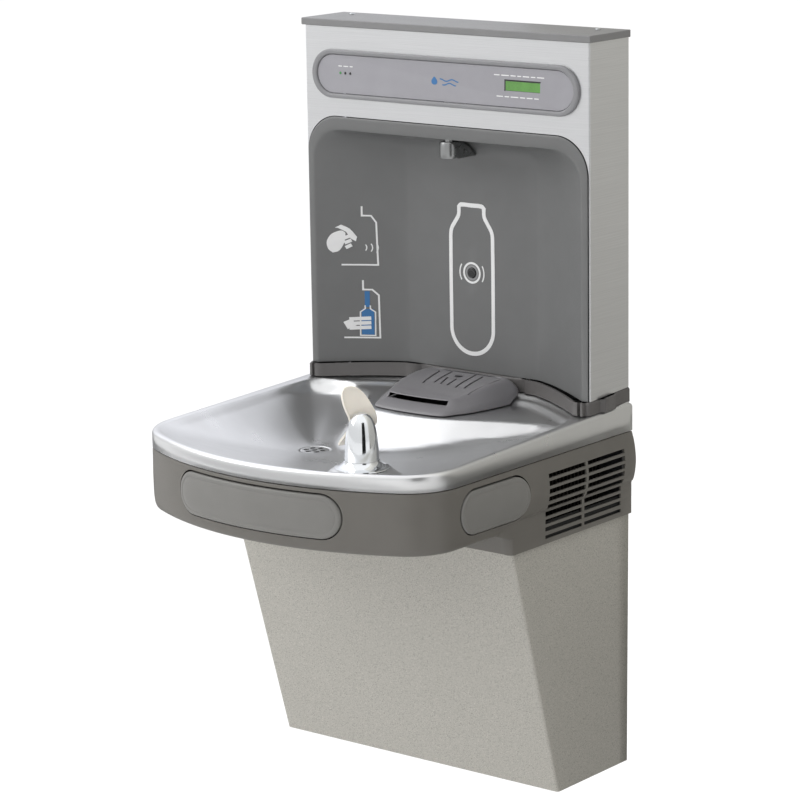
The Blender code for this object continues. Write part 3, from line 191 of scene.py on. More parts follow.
# ------------------------------------------------------------------ camera and stage (m)
CAMERA_PLACE = (2.4919, -3.3031, 0.9789)
CAMERA_TURN = (38.63, 12.502, -0.899)      # degrees to the left, down and rolled
CAMERA_LENS = 142.51     # millimetres
FLOOR_GAP = 0.43         # cabinet's lower edge to the floor
CARD_LOW = -0.82         # lower edge of the standing cards
WHITE = (1.0, 1.0, 1.0)


# ------------------------------------------------------------------ numbers and curves
def smooth01(t):
    """Smooth step from 0 to 1."""
    t = min(1.0, max(0.0, t))
    return t * t * (3.0 - 2.0 * t)


def curve(points, x):
    """Height of a polyline of (x, value) points, held level beyond its ends."""
    if x <= points[0][0]:
        return points[0][1]
    for (x0, a), (x1, b) in zip(points, points[1:]):
        if x <= x1:
            return a + (b - a) * (x - x0) / (x1 - x0)
    return points[-1][1]


def soft_curve(points, x, reach=9.0):
    """The same polyline with its corners rounded over the given reach."""
    total = 0.0
    for k in (-2, -1, 0, 1, 2):
        total += (3 - abs(k)) * curve(points, x + k * reach / 2.0)
    return total / 9.0


def soft_max(a, b, k):
    """The larger of two heights, with the crease between them rounded by k."""
    return 0.5 * (a + b + math.sqrt((a - b) ** 2 + k))


def spline(points, steps, closed=False, sharp=50.0):
    """Smooth curve through points of any dimension; corners turning more than sharp degrees are kept."""
    pts = [Vector(p).to_3d() if len(p) < 3 else Vector(p) for p in points]
    size = len(points[0])
    n = len(pts)

    def at(i):
        return pts[i % n] if closed else pts[min(max(i, 0), n - 1)]

    def tangent(i, chord):
        a, b, c = at(i - 1), at(i), at(i + 1)
        before, after = (b - a).length, (c - b).length
        if before < 1e-6 or after < 1e-6 or (b - a).angle(c - b) > math.radians(sharp):
            return None
        return (c - a) / (before + after) * chord

    out = []
    for i in range(n if closed else n - 1):
        a, b = at(i), at(i + 1)
        chord = (b - a).length
        ta, tb = tangent(i, chord), tangent(i + 1, chord)
        ta = (b - a) if ta is None else ta
        tb = (b - a) if tb is None else tb
        for k in range(steps):
            t = k / steps
            p = (2 * t ** 3 - 3 * t ** 2 + 1) * a + (t ** 3 - 2 * t ** 2 + t) * ta
            p += (3 * t ** 2 - 2 * t ** 3) * b + (t ** 3 - t ** 2) * tb
            out.append(tuple(p)[:size])
    if not closed:
        out.append(tuple(pts[-1])[:size])
    return out


def mirror(half):
    """Full path from a half path that ends on the middle plane."""
    return half + [(-p[0],) + tuple(p[1:]) for p in reversed(half[:-1])]


def circle(n, r, cx=0.0, cy=0.0):
    turns = [2 * math.pi * i / n for i in range(n)]
    return [(cx + r * math.cos(a), cy + r * math.sin(a)) for a in turns]


def pill(half_w, half_h, n=14, middle_points=0):
    """Stadium outline, symmetric about both axes, starting at its +a end."""
    c = half_w - half_h
    quarter = []
    for i in range(n + 1):
        a = math.pi / 2 * i / n
        quarter.append((c + half_h * math.cos(a), half_h * math.sin(a)))
    run = [(c - 2.0 * c * i / (middle_points + 1), half_h) for i in range(1, middle_points + 1)]
    upper = quarter + run + [(-x, z) for x, z in reversed(quarter)]
    return upper + [(x, -z) for x, z in reversed(upper[1:-1])]


# ------------------------------------------------------------------ mesh helpers
def shade(mesh, angle):
    """Smooth shading with crisp edges where faces meet at more than the angle."""
    for poly in mesh.polygons:
        poly.use_smooth = True
    mesh.set_sharp_from_angle(angle=math.radians(angle))


def to_frame(bm):
    """Move a bmesh from cabinet millimetres to the frame's metres."""
    for v in bm.verts:
        v.co = Vector((v.co.x, v.co.y, v.co.z - HANG_Z)) * MM


def put(name, bm, look, stands_for=(), body=ROOT, smooth=35.0, solid=0.0, offset=-1.0,
        inner=None):
    """Turn a millimetre bmesh into a named piece that rides on a CAD body and replaces CAD nodes.

    look and inner are keys of MATERIALS; inner is for the inside of a shell of thickness solid.
    """
    bmesh.ops.remove_doubles(bm, verts=bm.verts, dist=1e-4)
    bmesh.ops.recalc_face_normals(bm, faces=bm.faces)
    to_frame(bm)
    mesh = bpy.data.meshes.new(name)
    bm.to_mesh(mesh)
    bm.free()
    mesh.materials.append(MATERIALS[look])
    shade(mesh, smooth)
    obj = bpy.data.objects.new(name, mesh)
    bpy.context.scene.collection.objects.link(obj)
    if solid:
        mod = obj.modifiers.new("thickness", "SOLIDIFY")
        mod.thickness = solid * MM
        mod.offset = offset
        mod.use_even_offset = False
        if inner:
            mesh.materials.append(MATERIALS[inner])
            mod.material_offset = 1
    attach(obj, body)
    if stands_for:
        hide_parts(*stands_for)
    return obj


def carve(obj, bm, operation="DIFFERENCE", smooth=35.0):
    """Cut a shape out of a piece, or add one to it, and keep the result as plain mesh."""
    to_frame(bm)
    bmesh.ops.recalc_face_normals(bm, faces=bm.faces)
    mesh = bpy.data.meshes.new("carving")
    bm.to_mesh(mesh)
    bm.free()
    tool = bpy.data.objects.new("carving", mesh)
    bpy.context.scene.collection.objects.link(tool)
    mod = obj.modifiers.new("carving", "BOOLEAN")
    mod.operation = operation
    mod.solver = "EXACT"
    mod.object = tool
    bpy.context.view_layer.update()
    depsgraph = bpy.context.evaluated_depsgraph_get()
    made = bpy.data.meshes.new_from_object(obj.evaluated_get(depsgraph))
    obj.modifiers.clear()
    old = obj.data
    obj.data = made
    made.name = old.name + "_cut"
    bpy.data.meshes.remove(old)
    bpy.data.objects.remove(tool, do_unlink=True)
    bpy.data.meshes.remove(mesh)
    shade(made, smooth)


def soften(obj, width, segments=2, angle=40.0):
    """Round a piece's crisp edges."""
    mod = obj.modifiers.new("edges", "BEVEL")
    mod.width = width * MM
    mod.segments = segments
    mod.limit_method = "ANGLE"
    mod.angle_limit = math.radians(angle)
    mod.harden_normals = True


def bridge(bm, rows, closed=True):
    """Quads between neighbouring rows of equally many vertices."""
    n = len(rows[0])
    for a, b in zip(rows, rows[1:]):
        for i in range(n if closed else n - 1):
            j = (i + 1) % n
            bm.faces.new((a[i], a[j], b[j], b[i]))


def loft(rings, closed=True, caps=(True, True), bm=None):
    """Join rings of equally many points; caps are single faces on the first and last ring."""
    bm = bm or bmesh.new()
    rows = [[bm.verts.new(p) for p in ring] for ring in rings]
    bridge(bm, rows, closed)
    if caps[0]:
        bm.faces.new(list(reversed(rows[0])))
    if caps[1]:
        bm.faces.new(rows[-1])
    return bm


def ladder(bm, ring):
    """Close a ring with quads that run across it, for rings symmetric about their first point."""
    n = len(ring)
    for i in range(1, n // 2):
        a, b, c, d = ring[i - 1], ring[i], ring[n - i], ring[(n - i + 1) % n]
        bm.faces.new((a, b, c) if i == 1 else (a, b, c, d))
    if n % 2 == 0:
        bm.faces.new((ring[n // 2 - 1], ring[n // 2], ring[n // 2 + 1]))


def ladder_loft(rings, cap_first=True):
    """Join symmetric rings; quads that run across close the last one, and the first if asked."""
    bm = bmesh.new()
    rows = [[bm.verts.new(p) for p in ring] for ring in rings]
    bridge(bm, rows)
    if cap_first:
        ladder(bm, rows[0])
    ladder(bm, rows[-1])
    return bm


def along(axis, a, b, h):
    """Point with in-plane coordinates a, b and height h along the axis (right-handed order)."""
    if axis == "x":
        return (h, a, b)
    if axis == "y":
        return (a, h, b)
    return (a, b, h)


def turned(profile, axis, at, n):
    """Rings of a (radius, height) profile round an axis line."""
    return [[along(axis, a, b, h) for a, b in circle(n, r, at[0], at[1])] for r, h in profile]


def revolve(profile, axis="z", at=(0.0, 0.0), n=64, bm=None):
    """Turn a list of (radius, height) points around an axis line; closed at both ends."""
    return loft(turned(profile, axis, at, n), bm=bm)


def hollow(profile, axis="z", at=(0.0, 0.0), n=64):
    """Turn a closed (radius, height) loop around an axis line, leaving an open bore."""
    rings = turned(profile, axis, at, n)
    return loft(rings + [rings[0]], caps=(False, False))


def prism(points, axis, h0, h1, bm=None):
    """Push an outline along an axis from one height to another."""
    return loft([[along(axis, a, b, h) for a, b in points] for h in (h0, h1)], bm=bm)


def add_box(bm, x0, x1, y0, y1, z0, z1):
    vs = [bm.verts.new((x, y, z)) for z in (z0, z1) for y in (y0, y1) for x in (x0, x1)]
    for f in ((0, 2, 3, 1), (4, 5, 7, 6), (0, 1, 5, 4), (2, 6, 7, 3), (0, 4, 6, 2), (1, 3, 7, 5)):
        bm.faces.new([vs[i] for i in f])


def boxes(*sizes):
    """Boxes given by their lowest and highest x, y and z."""
    bm = bmesh.new()
    for size in sizes:
        add_box(bm, *size)
    return bm


# ------------------------------------------------------------------ material building blocks
class Paint:
    """A node material with real-scale procedural detail; scales are in cycles per metre."""

    def __init__(self, name, colour, roughness, metallic=0.0):
        self.mat = bpy.data.materials.new(name)
        self.mat.use_nodes = True
        self.tree = self.mat.node_tree
        self.shader = self.tree.nodes["Principled BSDF"]
        self.shader.inputs["Base Color"].default_value = (*colour, 1.0)
        self.shader.inputs["Roughness"].default_value = roughness
        self.shader.inputs["Metallic"].default_value = metallic
        self.colour = colour
        self.place = self.tree.nodes.new("ShaderNodeTexCoord").outputs["Object"]
        self.height = None
        self.mat.diffuse_color = (*colour, 1.0)

    def link(self, a, b):
        self.tree.links.new(a, b)

    def noise(self, scale, detail=2.0, stretch=(1.0, 1.0, 1.0)):
        """Noise value; an unstretched pattern is turned off the object's axes to hide its lattice."""
        mapping = self.tree.nodes.new("ShaderNodeMapping")
        mapping.inputs["Scale"].default_value = stretch
        if max(stretch) < 5.0:
            mapping.inputs["Rotation"].default_value = (0.61, 0.37, 0.23)
        node = self.tree.nodes.new("ShaderNodeTexNoise")
        node.inputs["Scale"].default_value = scale
        node.inputs["Detail"].default_value = detail
        self.link(self.place, mapping.inputs["Vector"])
        self.link(mapping.outputs["Vector"], node.inputs["Vector"])
        return node.outputs["Fac"]

    def cells(self, scale):
        node = self.tree.nodes.new("ShaderNodeTexVoronoi")
        node.inputs["Scale"].default_value = scale
        self.link(self.place, node.inputs["Vector"])
        return node.outputs["Distance"]

    def remap(self, socket, a, b, to_a, to_b):
        """Smooth step of a value from the range a-b to the range to_a-to_b."""
        node = self.tree.nodes.new("ShaderNodeMapRange")
        node.interpolation_type = "SMOOTHSTEP"
        for key, value in (("From Min", a), ("From Max", b), ("To Min", to_a), ("To Max", to_b)):
            node.inputs[key].default_value = value
        self.link(socket, node.inputs["Value"])
        return node.outputs["Result"]

    def tint(self, factor, rgb, under=None):
        """Mix another colour over the base colour, or over an earlier tint."""
        node = self.tree.nodes.new("ShaderNodeMix")
        node.data_type = "RGBA"
        node.inputs["B"].default_value = (*rgb, 1.0)
        if under is None:
            node.inputs["A"].default_value = (*self.colour, 1.0)
        else:
            self.link(under, node.inputs["A"])
        self.link(factor, node.inputs["Factor"])
        self.link(node.outputs["Result"], self.shader.inputs["Base Color"])
        return node.outputs["Result"]

    def rough(self, socket):
        self.link(socket, self.shader.inputs["Roughness"])

    def bump(self, socket, depth):
        """Raise the surface by up to depth millimetres along the socket's value."""
        node = self.tree.nodes.new("ShaderNodeBump")
        node.inputs["Strength"].default_value = 1.0
        node.inputs["Distance"].default_value = depth * MM
        self.link(socket, node.inputs["Height"])
        if self.height is not None:
            self.link(self.height, node.inputs["Normal"])
        self.height = node.outputs["Normal"]
        self.link(self.height, self.shader.inputs["Normal"])

    def edges(self, low=0.52, high=0.62, strength=0.5):
        """0 on flat faces, up to strength on convex edges."""
        point = self.tree.nodes.new("ShaderNodeNewGeometry").outputs["Pointiness"]
        return self.remap(point, low, high, 0.0, strength)


def lighter(rgb, k):
    return tuple(min(1.0, c * k) for c in rgb)


def brushed_steel(name, colour, roughness, stretch, contrast=0.10):
    """Stainless sheet with a long grain; stretch is low along the grain and high across it."""
    p = Paint(name, colour, roughness, 1.0)
    grain = p.noise(1.0, 3.0, stretch)
    under = p.tint(p.remap(grain, 0.3, 0.7, 0.0, 1.0), lighter(colour, 1.0 - contrast))
    cloud = p.noise(9.0, 2.0)
    p.tint(p.remap(cloud, 0.3, 0.7, 0.0, 0.22), lighter(colour, 0.90), under)
    p.rough(p.remap(grain, 0.25, 0.75, roughness - 0.05, roughness + 0.09))
    p.bump(grain, 0.004)
    return p.mat


def satin_steel(name, colour, roughness):
    """Pressed stainless with a soft non-directional finish and faint wipe marks."""
    p = Paint(name, colour, roughness, 1.0)
    fine = p.noise(2600.0, 2.0)
    wipes = p.noise(14.0, 3.0, (1.0, 2.2, 1.0))
    p.tint(p.remap(wipes, 0.15, 0.9, 0.0, 0.3), lighter(colour, 0.90))
    p.rough(p.remap(wipes, 0.15, 0.9, roughness - 0.04, roughness + 0.06))
    p.bump(fine, 0.001)
    return p.mat


def chrome(name, colour=(0.80, 0.82, 0.84), roughness=0.07):
    """Plated metal with faint smears."""
    p = Paint(name, colour, roughness, 1.0)
    smear = p.noise(60.0, 3.0)
    p.tint(p.remap(smear, 0.35, 0.75, 0.0, 0.3), lighter(colour, 0.93))
    p.rough(p.remap(smear, 0.3, 0.75, roughness, roughness + 0.07))
    return p.mat


def moulded(name, colour, roughness=0.45, grain=0.02, wear=0.35):
    """Moulded plastic: fine pebble grain, faint mottling and rubbed edges."""
    p = Paint(name, colour, roughness)
    mottle = p.noise(35.0, 3.0)
    pebble = p.noise(1500.0, 2.0)
    under = p.tint(p.remap(mottle, 0.3, 0.7, 0.0, 0.5), lighter(colour, 0.92))
    p.tint(p.edges(strength=wear), lighter(colour, 1.45), under)
    p.rough(p.remap(pebble, 0.3, 0.7, roughness - 0.06, roughness + 0.08))
    p.bump(pebble, grain)
    return p.mat


def granite_paint(name, colour):
    """Textured paint on sheet steel, speckled dark and light at about a millimetre."""
    p = Paint(name, colour, 0.55)
    dark = p.noise(620.0, 2.0)
    pale = p.noise(830.0, 1.0, (1.0, 1.3, 1.0))
    cloud = p.noise(20.0, 2.0)
    step = p.tint(p.remap(dark, 0.50, 0.68, 0.0, 0.75), lighter(colour, 0.58))
    step = p.tint(p.remap(pale, 0.56, 0.70, 0.0, 0.8), lighter(colour, 1.40), step)
    p.tint(p.remap(cloud, 0.3, 0.7, 0.0, 0.12), lighter(colour, 0.9), step)
    p.rough(p.remap(dark, 0.3, 0.7, 0.42, 0.66))
    p.bump(dark, 0.10)
    return p.mat


def rubber(name, colour):
    """Soft matt rubber that lets a little light in."""
    p = Paint(name, colour, 0.5)
    soft = p.noise(45.0, 3.0)
    fine = p.noise(1300.0, 2.0)
    under = p.tint(p.remap(soft, 0.3, 0.7, 0.0, 0.5), lighter(colour, 0.93))
    p.tint(p.edges(strength=0.25), lighter(colour, 1.15), under)
    p.shader.inputs["Subsurface Weight"].default_value = 0.12
    p.shader.inputs["Subsurface Radius"].default_value = (0.004, 0.003, 0.002)
    p.bump(fine, 0.012)
    return p.mat


def galvanised(name, colour=(0.50, 0.52, 0.53)):
    """Zinc-coated sheet with its large crystal pattern."""
    p = Paint(name, colour, 0.42, 0.9)
    spangle = p.cells(140.0)
    fine = p.noise(900.0, 2.0)
    p.tint(p.remap(spangle, 0.1, 0.7, 0.0, 0.7), lighter(colour, 0.78))
    p.rough(p.remap(spangle, 0.1, 0.7, 0.34, 0.52))
    p.bump(fine, 0.01)
    return p.mat


def gloss(name, colour, roughness=0.2):
    """Enamel or dark glass under a clear coat."""
    p = Paint(name, colour, roughness)
    wipe = p.noise(120.0, 2.0)
    p.tint(p.remap(wipe, 0.3, 0.75, 0.0, 0.35), lighter(colour, 0.88))
    p.rough(p.remap(wipe, 0.3, 0.7, roughness, roughness + 0.1))
    p.shader.inputs["Coat Weight"].default_value = 0.4
    return p.mat


def tarnished(name, colour, roughness=0.32):
    """Bare metal with stains."""
    p = Paint(name, colour, roughness, 1.0)
    stain = p.noise(70.0, 4.0)
    p.tint(p.remap(stain, 0.35, 0.7, 0.0, 0.7), lighter(colour, 0.6))
    p.rough(p.remap(stain, 0.3, 0.7, roughness, roughness + 0.2))
    p.bump(stain, 0.02)
    return p.mat


def display_glass(name):
    """Green liquid-crystal panel with a fine dot matrix."""
    colour = (0.095, 0.28, 0.045)
    p = Paint(name, colour, 0.35)
    dots = p.cells(700.0)
    glow = p.noise(60.0, 1.0)
    under = p.tint(p.remap(dots, 0.1, 0.5, 0.6, 0.0), lighter(colour, 0.55))
    p.tint(p.remap(glow, 0.3, 0.7, 0.0, 0.35), lighter(colour, 1.35), under)
    p.shader.inputs["Coat Weight"].default_value = 0.5
    return p.mat


MATERIALS = {
    "basin": satin_steel("basin_steel", (0.74, 0.745, 0.75), 0.30),
    "strainer": brushed_steel("strainer_steel", (0.62, 0.62, 0.62), 0.28, (300.0, 2400.0, 300.0)),
    "tower": brushed_steel("tower_steel", (0.70, 0.705, 0.715), 0.34, (10.0, 10.0, 2600.0)),
    "chrome": chrome("chrome"),
    "nozzle": chrome("nozzle_chrome", (0.30, 0.305, 0.305), 0.25),
    "screws": brushed_steel("screw_steel", (0.55, 0.57, 0.58), 0.3, (900.0, 900.0, 900.0)),
    "shroud": moulded("shroud_plastic", (0.138, 0.130, 0.116), 0.42, 0.012),
    "bar": moulded("bar_plastic", (0.195, 0.191, 0.180), 0.42, 0.012),
    "cover": moulded("cover_plastic", (0.20, 0.20, 0.202), 0.5, 0.015),
    "liner": moulded("liner_plastic", (0.145, 0.147, 0.147), 0.40, 0.008, 0.2),
    "trim": moulded("trim_plastic", (0.105, 0.100, 0.098), 0.45, 0.012),
    "tray": moulded("tray_plastic", (0.20, 0.195, 0.205), 0.42, 0.012, 0.5),
    "bezel": moulded("bezel_plastic", (0.24, 0.24, 0.25), 0.38, 0.006),
    "face": moulded("face_plastic", (0.315, 0.31, 0.335), 0.45, 0.006, 0.1),
    "panel": granite_paint("cabinet_paint", (0.43, 0.415, 0.375)),
    "guard": rubber("guard_rubber", (0.88, 0.83, 0.75)),
    "galvanised": galvanised("galvanised_sheet"),
    "black": moulded("black_plastic", (0.018, 0.018, 0.018), 0.45, 0.01),
    # near-black used as painted shade: inner faces of shells, the tray's floor, the drain's bore and the
    # cabinet under the collar
    "inside": moulded("painted_shade_plastic", (0.012, 0.012, 0.012), 0.7, 0.01, 0.1),
    "black_gloss": gloss("black_enamel", (0.015, 0.015, 0.016), 0.25),
    "white": moulded("white_plastic", (0.74, 0.74, 0.72), 0.4, 0.01, 0.1),
    "foam": moulded("foam_jacket", (0.10, 0.10, 0.11), 0.85, 0.12, 0.2),
    "brass": tarnished("brass", (0.60, 0.45, 0.22)),
    "copper": tarnished("copper", (0.70, 0.36, 0.22)),
    # condenser fins near-black as on a black-painted coil, and kept this dark so the louvres read as shade:
    # partly painted shade
    "painted_shade_fins": tarnished("coil_fins", (0.03, 0.026, 0.024), 0.6),
    # back panel coloured near-black as painted shade, so that it stays dark through the louvres
    "chassis": granite_paint("chassis_painted_shade", (0.045, 0.045, 0.048)),
    "ivory": moulded("ivory_plastic", (0.74, 0.69, 0.58), 0.4, 0.01, 0.1),
    "lens": gloss("sensor_glass", (0.008, 0.008, 0.009), 0.08),
    "lamp_on": gloss("lamp_green", (0.06, 0.34, 0.08), 0.2),
    "lamp_off": gloss("lamp_dark", (0.02, 0.02, 0.02), 0.2),
    "lcd": display_glass("display_glass"),
    "ink_white": moulded("white_ink", (0.80, 0.80, 0.80), 0.5, 0.004, 0.0),
    "ink_blue": moulded("blue_ink", (0.035, 0.16, 0.38), 0.5, 0.004, 0.0),
    "ink_grey": moulded("grey_ink", (0.28, 0.28, 0.285), 0.5, 0.004, 0.0),
}

CARRIED_OVER = {
    # the back panel is coloured near-black as painted shade behind the louvres
    "chassis": ("back_panel",),
    "galvanised": ("wall_hanger", "compressor_shelf", "compressor_feet", "fan_shroud"),
    "black": ("drain_tailpiece", "fan_motor", "fan_blade", "filter_head", "front_switch", "left_switch",
              "right_switch", "control_module", "sensor_module", "power_inlet"),
    "black_gloss": ("compressor",),
    "white": ("bubbler_solenoid", "filler_solenoid", "bubbler_water_tube", "filler_water_tube",
              "regulator_feed_tube", "waste_tube", "filter_cartridge", "thermostat",
              "thermostat_spindle"),
    "foam": ("cold_tank",),
    "brass": ("regulator", "bubbler_nut"),
    "copper": ("suction_line",),
    # the condenser's near-black fins are partly painted shade behind the louvres
    "painted_shade_fins": ("condenser",),
    "ivory": ("front_switch_plunger", "left_switch_plunger", "right_switch_plunger"),
    "screws": ("regulator_screw",),
}


def dress_cad_nodes():
    """Give every CAD node that stays visible its procedural material."""
    for key, nodes in CARRIED_OVER.items():
        for node in nodes:
            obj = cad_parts[node]
            obj.data.materials.clear()
            obj.data.materials.append(MATERIALS[key])


# ------------------------------------------------------------------ shared outlines
def rim_z(y):
    """Height of the rim at a distance from the wall."""
    return RIM_BACK - RIM_RISE - 0.02 + RIM_RISE * (y + DEPTH) / DEPTH


def side_stations(ys):
    return [("side", y) for y in ys]


def front_stations(arc, corner):
    """Stations round the front corner and along the front arc to the middle plane."""
    join = math.atan2(CORNER_Y - ARC_Y, CORNER_X)
    out = [("corner", join * i / corner) for i in range(corner + 1)]
    out += [("arc", join + (-math.pi / 2 - join) * i / arc) for i in range(1, arc + 1)]
    return out


def station_point(station, d):
    """Plan point of a station, inset by d from the rim's outline."""
    kind, value = station
    if kind == "side":
        return (HALF - d, value)
    if kind == "corner":
        return (CORNER_X + (FILLET - d) * math.cos(value), CORNER_Y + (FILLET - d) * math.sin(value))
    return ((ARC - d) * math.cos(value), ARC_Y + (ARC - d) * math.sin(value))


def both_sides(half):
    """Closed outline from a half outline that begins and ends on the middle plane."""
    return half + [(-x, y) for x, y in reversed(half[1:-1])]


def arc_front(x):
    """The rim's front arc at a place across the width."""
    return ARC_Y - math.sqrt(ARC ** 2 - x * x)


def bowed(x, half, back, front):
    """Plan curve that is flat in the middle and comes forward to its ends."""
    t = max(0.0, (abs(x) - ALCOVE_FLAT) / (half - ALCOVE_FLAT))
    return -back - (front - back) * min(1.0, t) ** PLAN_CURVE


def alcove_y(x):
    return bowed(x, ALCOVE_HALF, ALCOVE_BACK, TOWER_DEPTH)


def trim_y(x):
    return bowed(x, TRIM_HALF, TRIM_BACK, TRIM_DEPTH)


def trim_top(y):
    return TRIM_TOP + TRIM_RISE * (y + TRIM_DEPTH) / TRIM_DEPTH


# ------------------------------------------------------------------ basin
def rim_outline(inset):
    """Outline of the basin's rim, inset; the back is notched to clear the chassis."""
    near = min(inset, 3.0)
    leg = NOTCH_HALF + 0.55 * near
    right = [(x, -NOTCH_DEPTH - inset) for x in (0.0, 30.0, 60.0, 90.0, 120.0, 150.0, 175.0, leg)]
    right += [(leg, -WALL_GAP - near), (HALF - 1.4 * near, -WALL_GAP - near), (HALF - near, -30.0)]
    right += [(HALF - inset, y) for y in (-84.0, -150.0, -231.0, -310.0)]
    right += [station_point(s, inset) for s in front_stations(8, 6)]
    return spline(both_sides(right), 5, closed=True)


def bowl_outline():
    """Upper edge of the bowl, with one point for each point of the rim's outline."""
    across = (0.0, 30.0, 60.0, 90.0, 115.0, 138.0, 158.0, 175.0, 187.0, 198.0)
    right = [(x, trim_y(x) - BEAD) for x in across]
    right += [(209.0, -99.0), (216.0, -111.0), (221.0, -136.0), (223.5, -231.0), (224.5, -310.0)]
    right += [station_point(s, 12.0) for s in front_stations(8, 6)]
    return spline(both_sides(right), 5, closed=True)


def rim_drop(x, y):
    """How far the bowl's lower shape starts below the rim: least on the left, most at the back."""
    back = smooth01((y + 170.0) / 80.0)
    right = smooth01((x + 60.0) / 140.0)
    return 3.0 + 14.0 * back + 7.0 * right * (1.0 - back)


def deck_z(x, y):
    """Flat deck with a ledge and a bead that rise to the back edge of the bowl."""
    t = trim_y(min(abs(x), TRIM_HALF)) - y
    ledge = LEDGE * (1.0 - smooth01((t - 18.0) / 14.0))
    bead = (rim_z(y) - LIP - DECK_Z - LEDGE) * (1.0 - smooth01((t - BEAD) / 7.0))
    return DECK_Z + ledge + bead


def bowl_z(x, y, u, rim):
    """Bowl height at (x, y), a fraction u of the way from the given rim point to the drain.

    The round bowl and the sloping deck are joined softly; the join is crisper on the right.
    """
    start = rim_z(rim[1]) - rim_drop(*rim)
    floor = DRAIN_Z + (start - DRAIN_Z) * (1.0 - u) ** BOWL_CURVE
    beyond = max(0.0, soft_curve(DECK_EDGE, x) - y)
    shelf = deck_z(x, y) - curve(DECK_FALL, x) * beyond
    near, far = BLEND
    blend = far * smooth01((math.hypot(x - DRAIN.x, y - DRAIN.y) - 22.0) / 50.0)
    return soft_max(floor, shelf, near + blend * (1.0 - 0.9 * smooth01((x + 60.0) / 90.0)))


def basin():
    """Skirt, rolled rim and bowl as one sheet of rings that shrink to the drain's hole."""
    rows = []
    for inset, drop in RIM_PROFILE:
        outline = rim_outline(inset)
        rows.append([(x, y, SKIRT_Z if drop is None else rim_z(y) - drop) for x, y in outline])
    edge = bowl_outline()
    inward = []
    for x, y in edge:
        dx, dy = DRAIN.x - x, DRAIN.y - y
        s = -2.0 / math.hypot(dx, dy)
        inward.append((x + dx * s, y + dy * s, rim_z(y) - 1.0))
    rows.append(inward)
    shares = [0.0, 0.01, 0.02, 0.03, 0.04, 0.05, 0.065, 0.08, 0.1, 0.12]
    shares += [0.12 + 0.88 * i / BOWL_RINGS for i in range(1, BOWL_RINGS + 1)]
    for u in shares:
        ring = []
        for ex, ey in edge:
            d = math.hypot(ex - DRAIN.x, ey - DRAIN.y)
            k = 1.0 - u * (1.0 - DRAIN_HOLE / d)
            x = DRAIN.x + (ex - DRAIN.x) * k
            y = DRAIN.y + (ey - DRAIN.y) * k
            lift = rim_z(ey) - LIP - bowl_z(ex, ey, 0.0, (ex, ey))
            z = bowl_z(x, y, u, (ex, ey)) + lift * (1.0 - smooth01(u * (d - DRAIN_HOLE) / 16.0))
            off_pad = max(0.0, math.hypot(x - BUBBLER.x, y - BUBBLER.y) - PAD_RADIUS)
            pad = PAD_Z - PAD_SLOPE * off_pad
            z = soft_max(z, pad, 1.5) if pad > PAD_Z - 14.0 else z
            ring.append((x, y, DRAIN_Z if u == 1.0 else z))
        rows.append(ring)
    put("basin_bowl", loft(rows, caps=(False, False)), "basin", ("basin",), smooth=60.0, solid=SHEET)


def drain():
    """Strainer plate with seven oval slots, and a near-black ring under it, painted shade in the bore."""
    x, y, z = DRAIN.x, DRAIN.y, DRAIN_Z
    plate = revolve([(18.9, z - 1.6), (18.9, z - 0.02), (18.8, z), (10.0, z - 0.1)], at=(x, y), n=56)
    top = put("drain_strainer_plate", plate, "basin", ("drain_strainer",))
    slots = bmesh.new()
    for k in range(7):
        turn = math.pi / 3.0 * k + 0.4
        reach = 0.0 if k == 6 else SLOT_CIRCLE
        cx, cy = x + reach * math.cos(turn), y + reach * math.sin(turn)
        outline = [(cx + DRAIN_SLOT[0] * a, cy + DRAIN_SLOT[1] * b) for a, b in circle(20, 1.0)]
        prism(outline, "z", z - 6.0, z + 5.0, bm=slots)
    carve(top, slots)
    # painted shade: a near-black ring that darkens the bore under the slots
    bore = revolve([(18.0, z - 2.6), (18.0, z - 1.8)], at=(x, y), n=40)
    put("drain_shadow_ring", bore, "inside")


# ------------------------------------------------------------------ bubbler and mouth guard
def bubbler():
    """Chrome collar on the basin's pad and the spout above it, cut where the mouth guard sits."""
    x, y = BUBBLER.x, BUBBLER.y
    z = PAD_Z + 0.3
    flare = spline([(34.0, z), (33.6, z + 1.2), (29.5, z + 2.4), (25.6, z + 4.8), (23.0, z + 7.4),
                    (21.9, z + 9.9)], 4)
    collar = hollow([(8.2, z)] + flare + [(8.2, z + 9.9)], at=(x, y))
    put("bubbler_collar", collar, "chrome", ("bubbler_flange",))
    base = z + 10.0
    shape = spline([(21.3, base), (20.9, base + 14.0), (19.7, base + 28.0), (17.4, base + 41.0),
                    (14.0, base + 51.0), (9.3, base + 57.0), (3.0, base + 59.4)], 5)
    body = revolve([(7.6, 436.0), (7.6, base)] + shape, at=(x, y))
    spout = put("bubbler_spout", body, "chrome", ("bubbler_body",), smooth=40.0)
    seat = [(-46.0, 478.0), (-34.0, 483.5), (-24.5, 489.0), (-14.5, 499.0), (-5.0, 510.0), (-1.0, 521.0),
            (-1.0, 540.0), (-46.0, 540.0)]
    rings = [[(x + a + GUARD_LEAN * b, y + b, c) for a, c in seat] for b in (-40.0, 40.0)]
    carve(spout, loft(rings))
    carve(spout, revolve([(2.8, x - 20.0), (2.8, x + 5.0)], axis="x", at=(y, JET_Z), n=24))


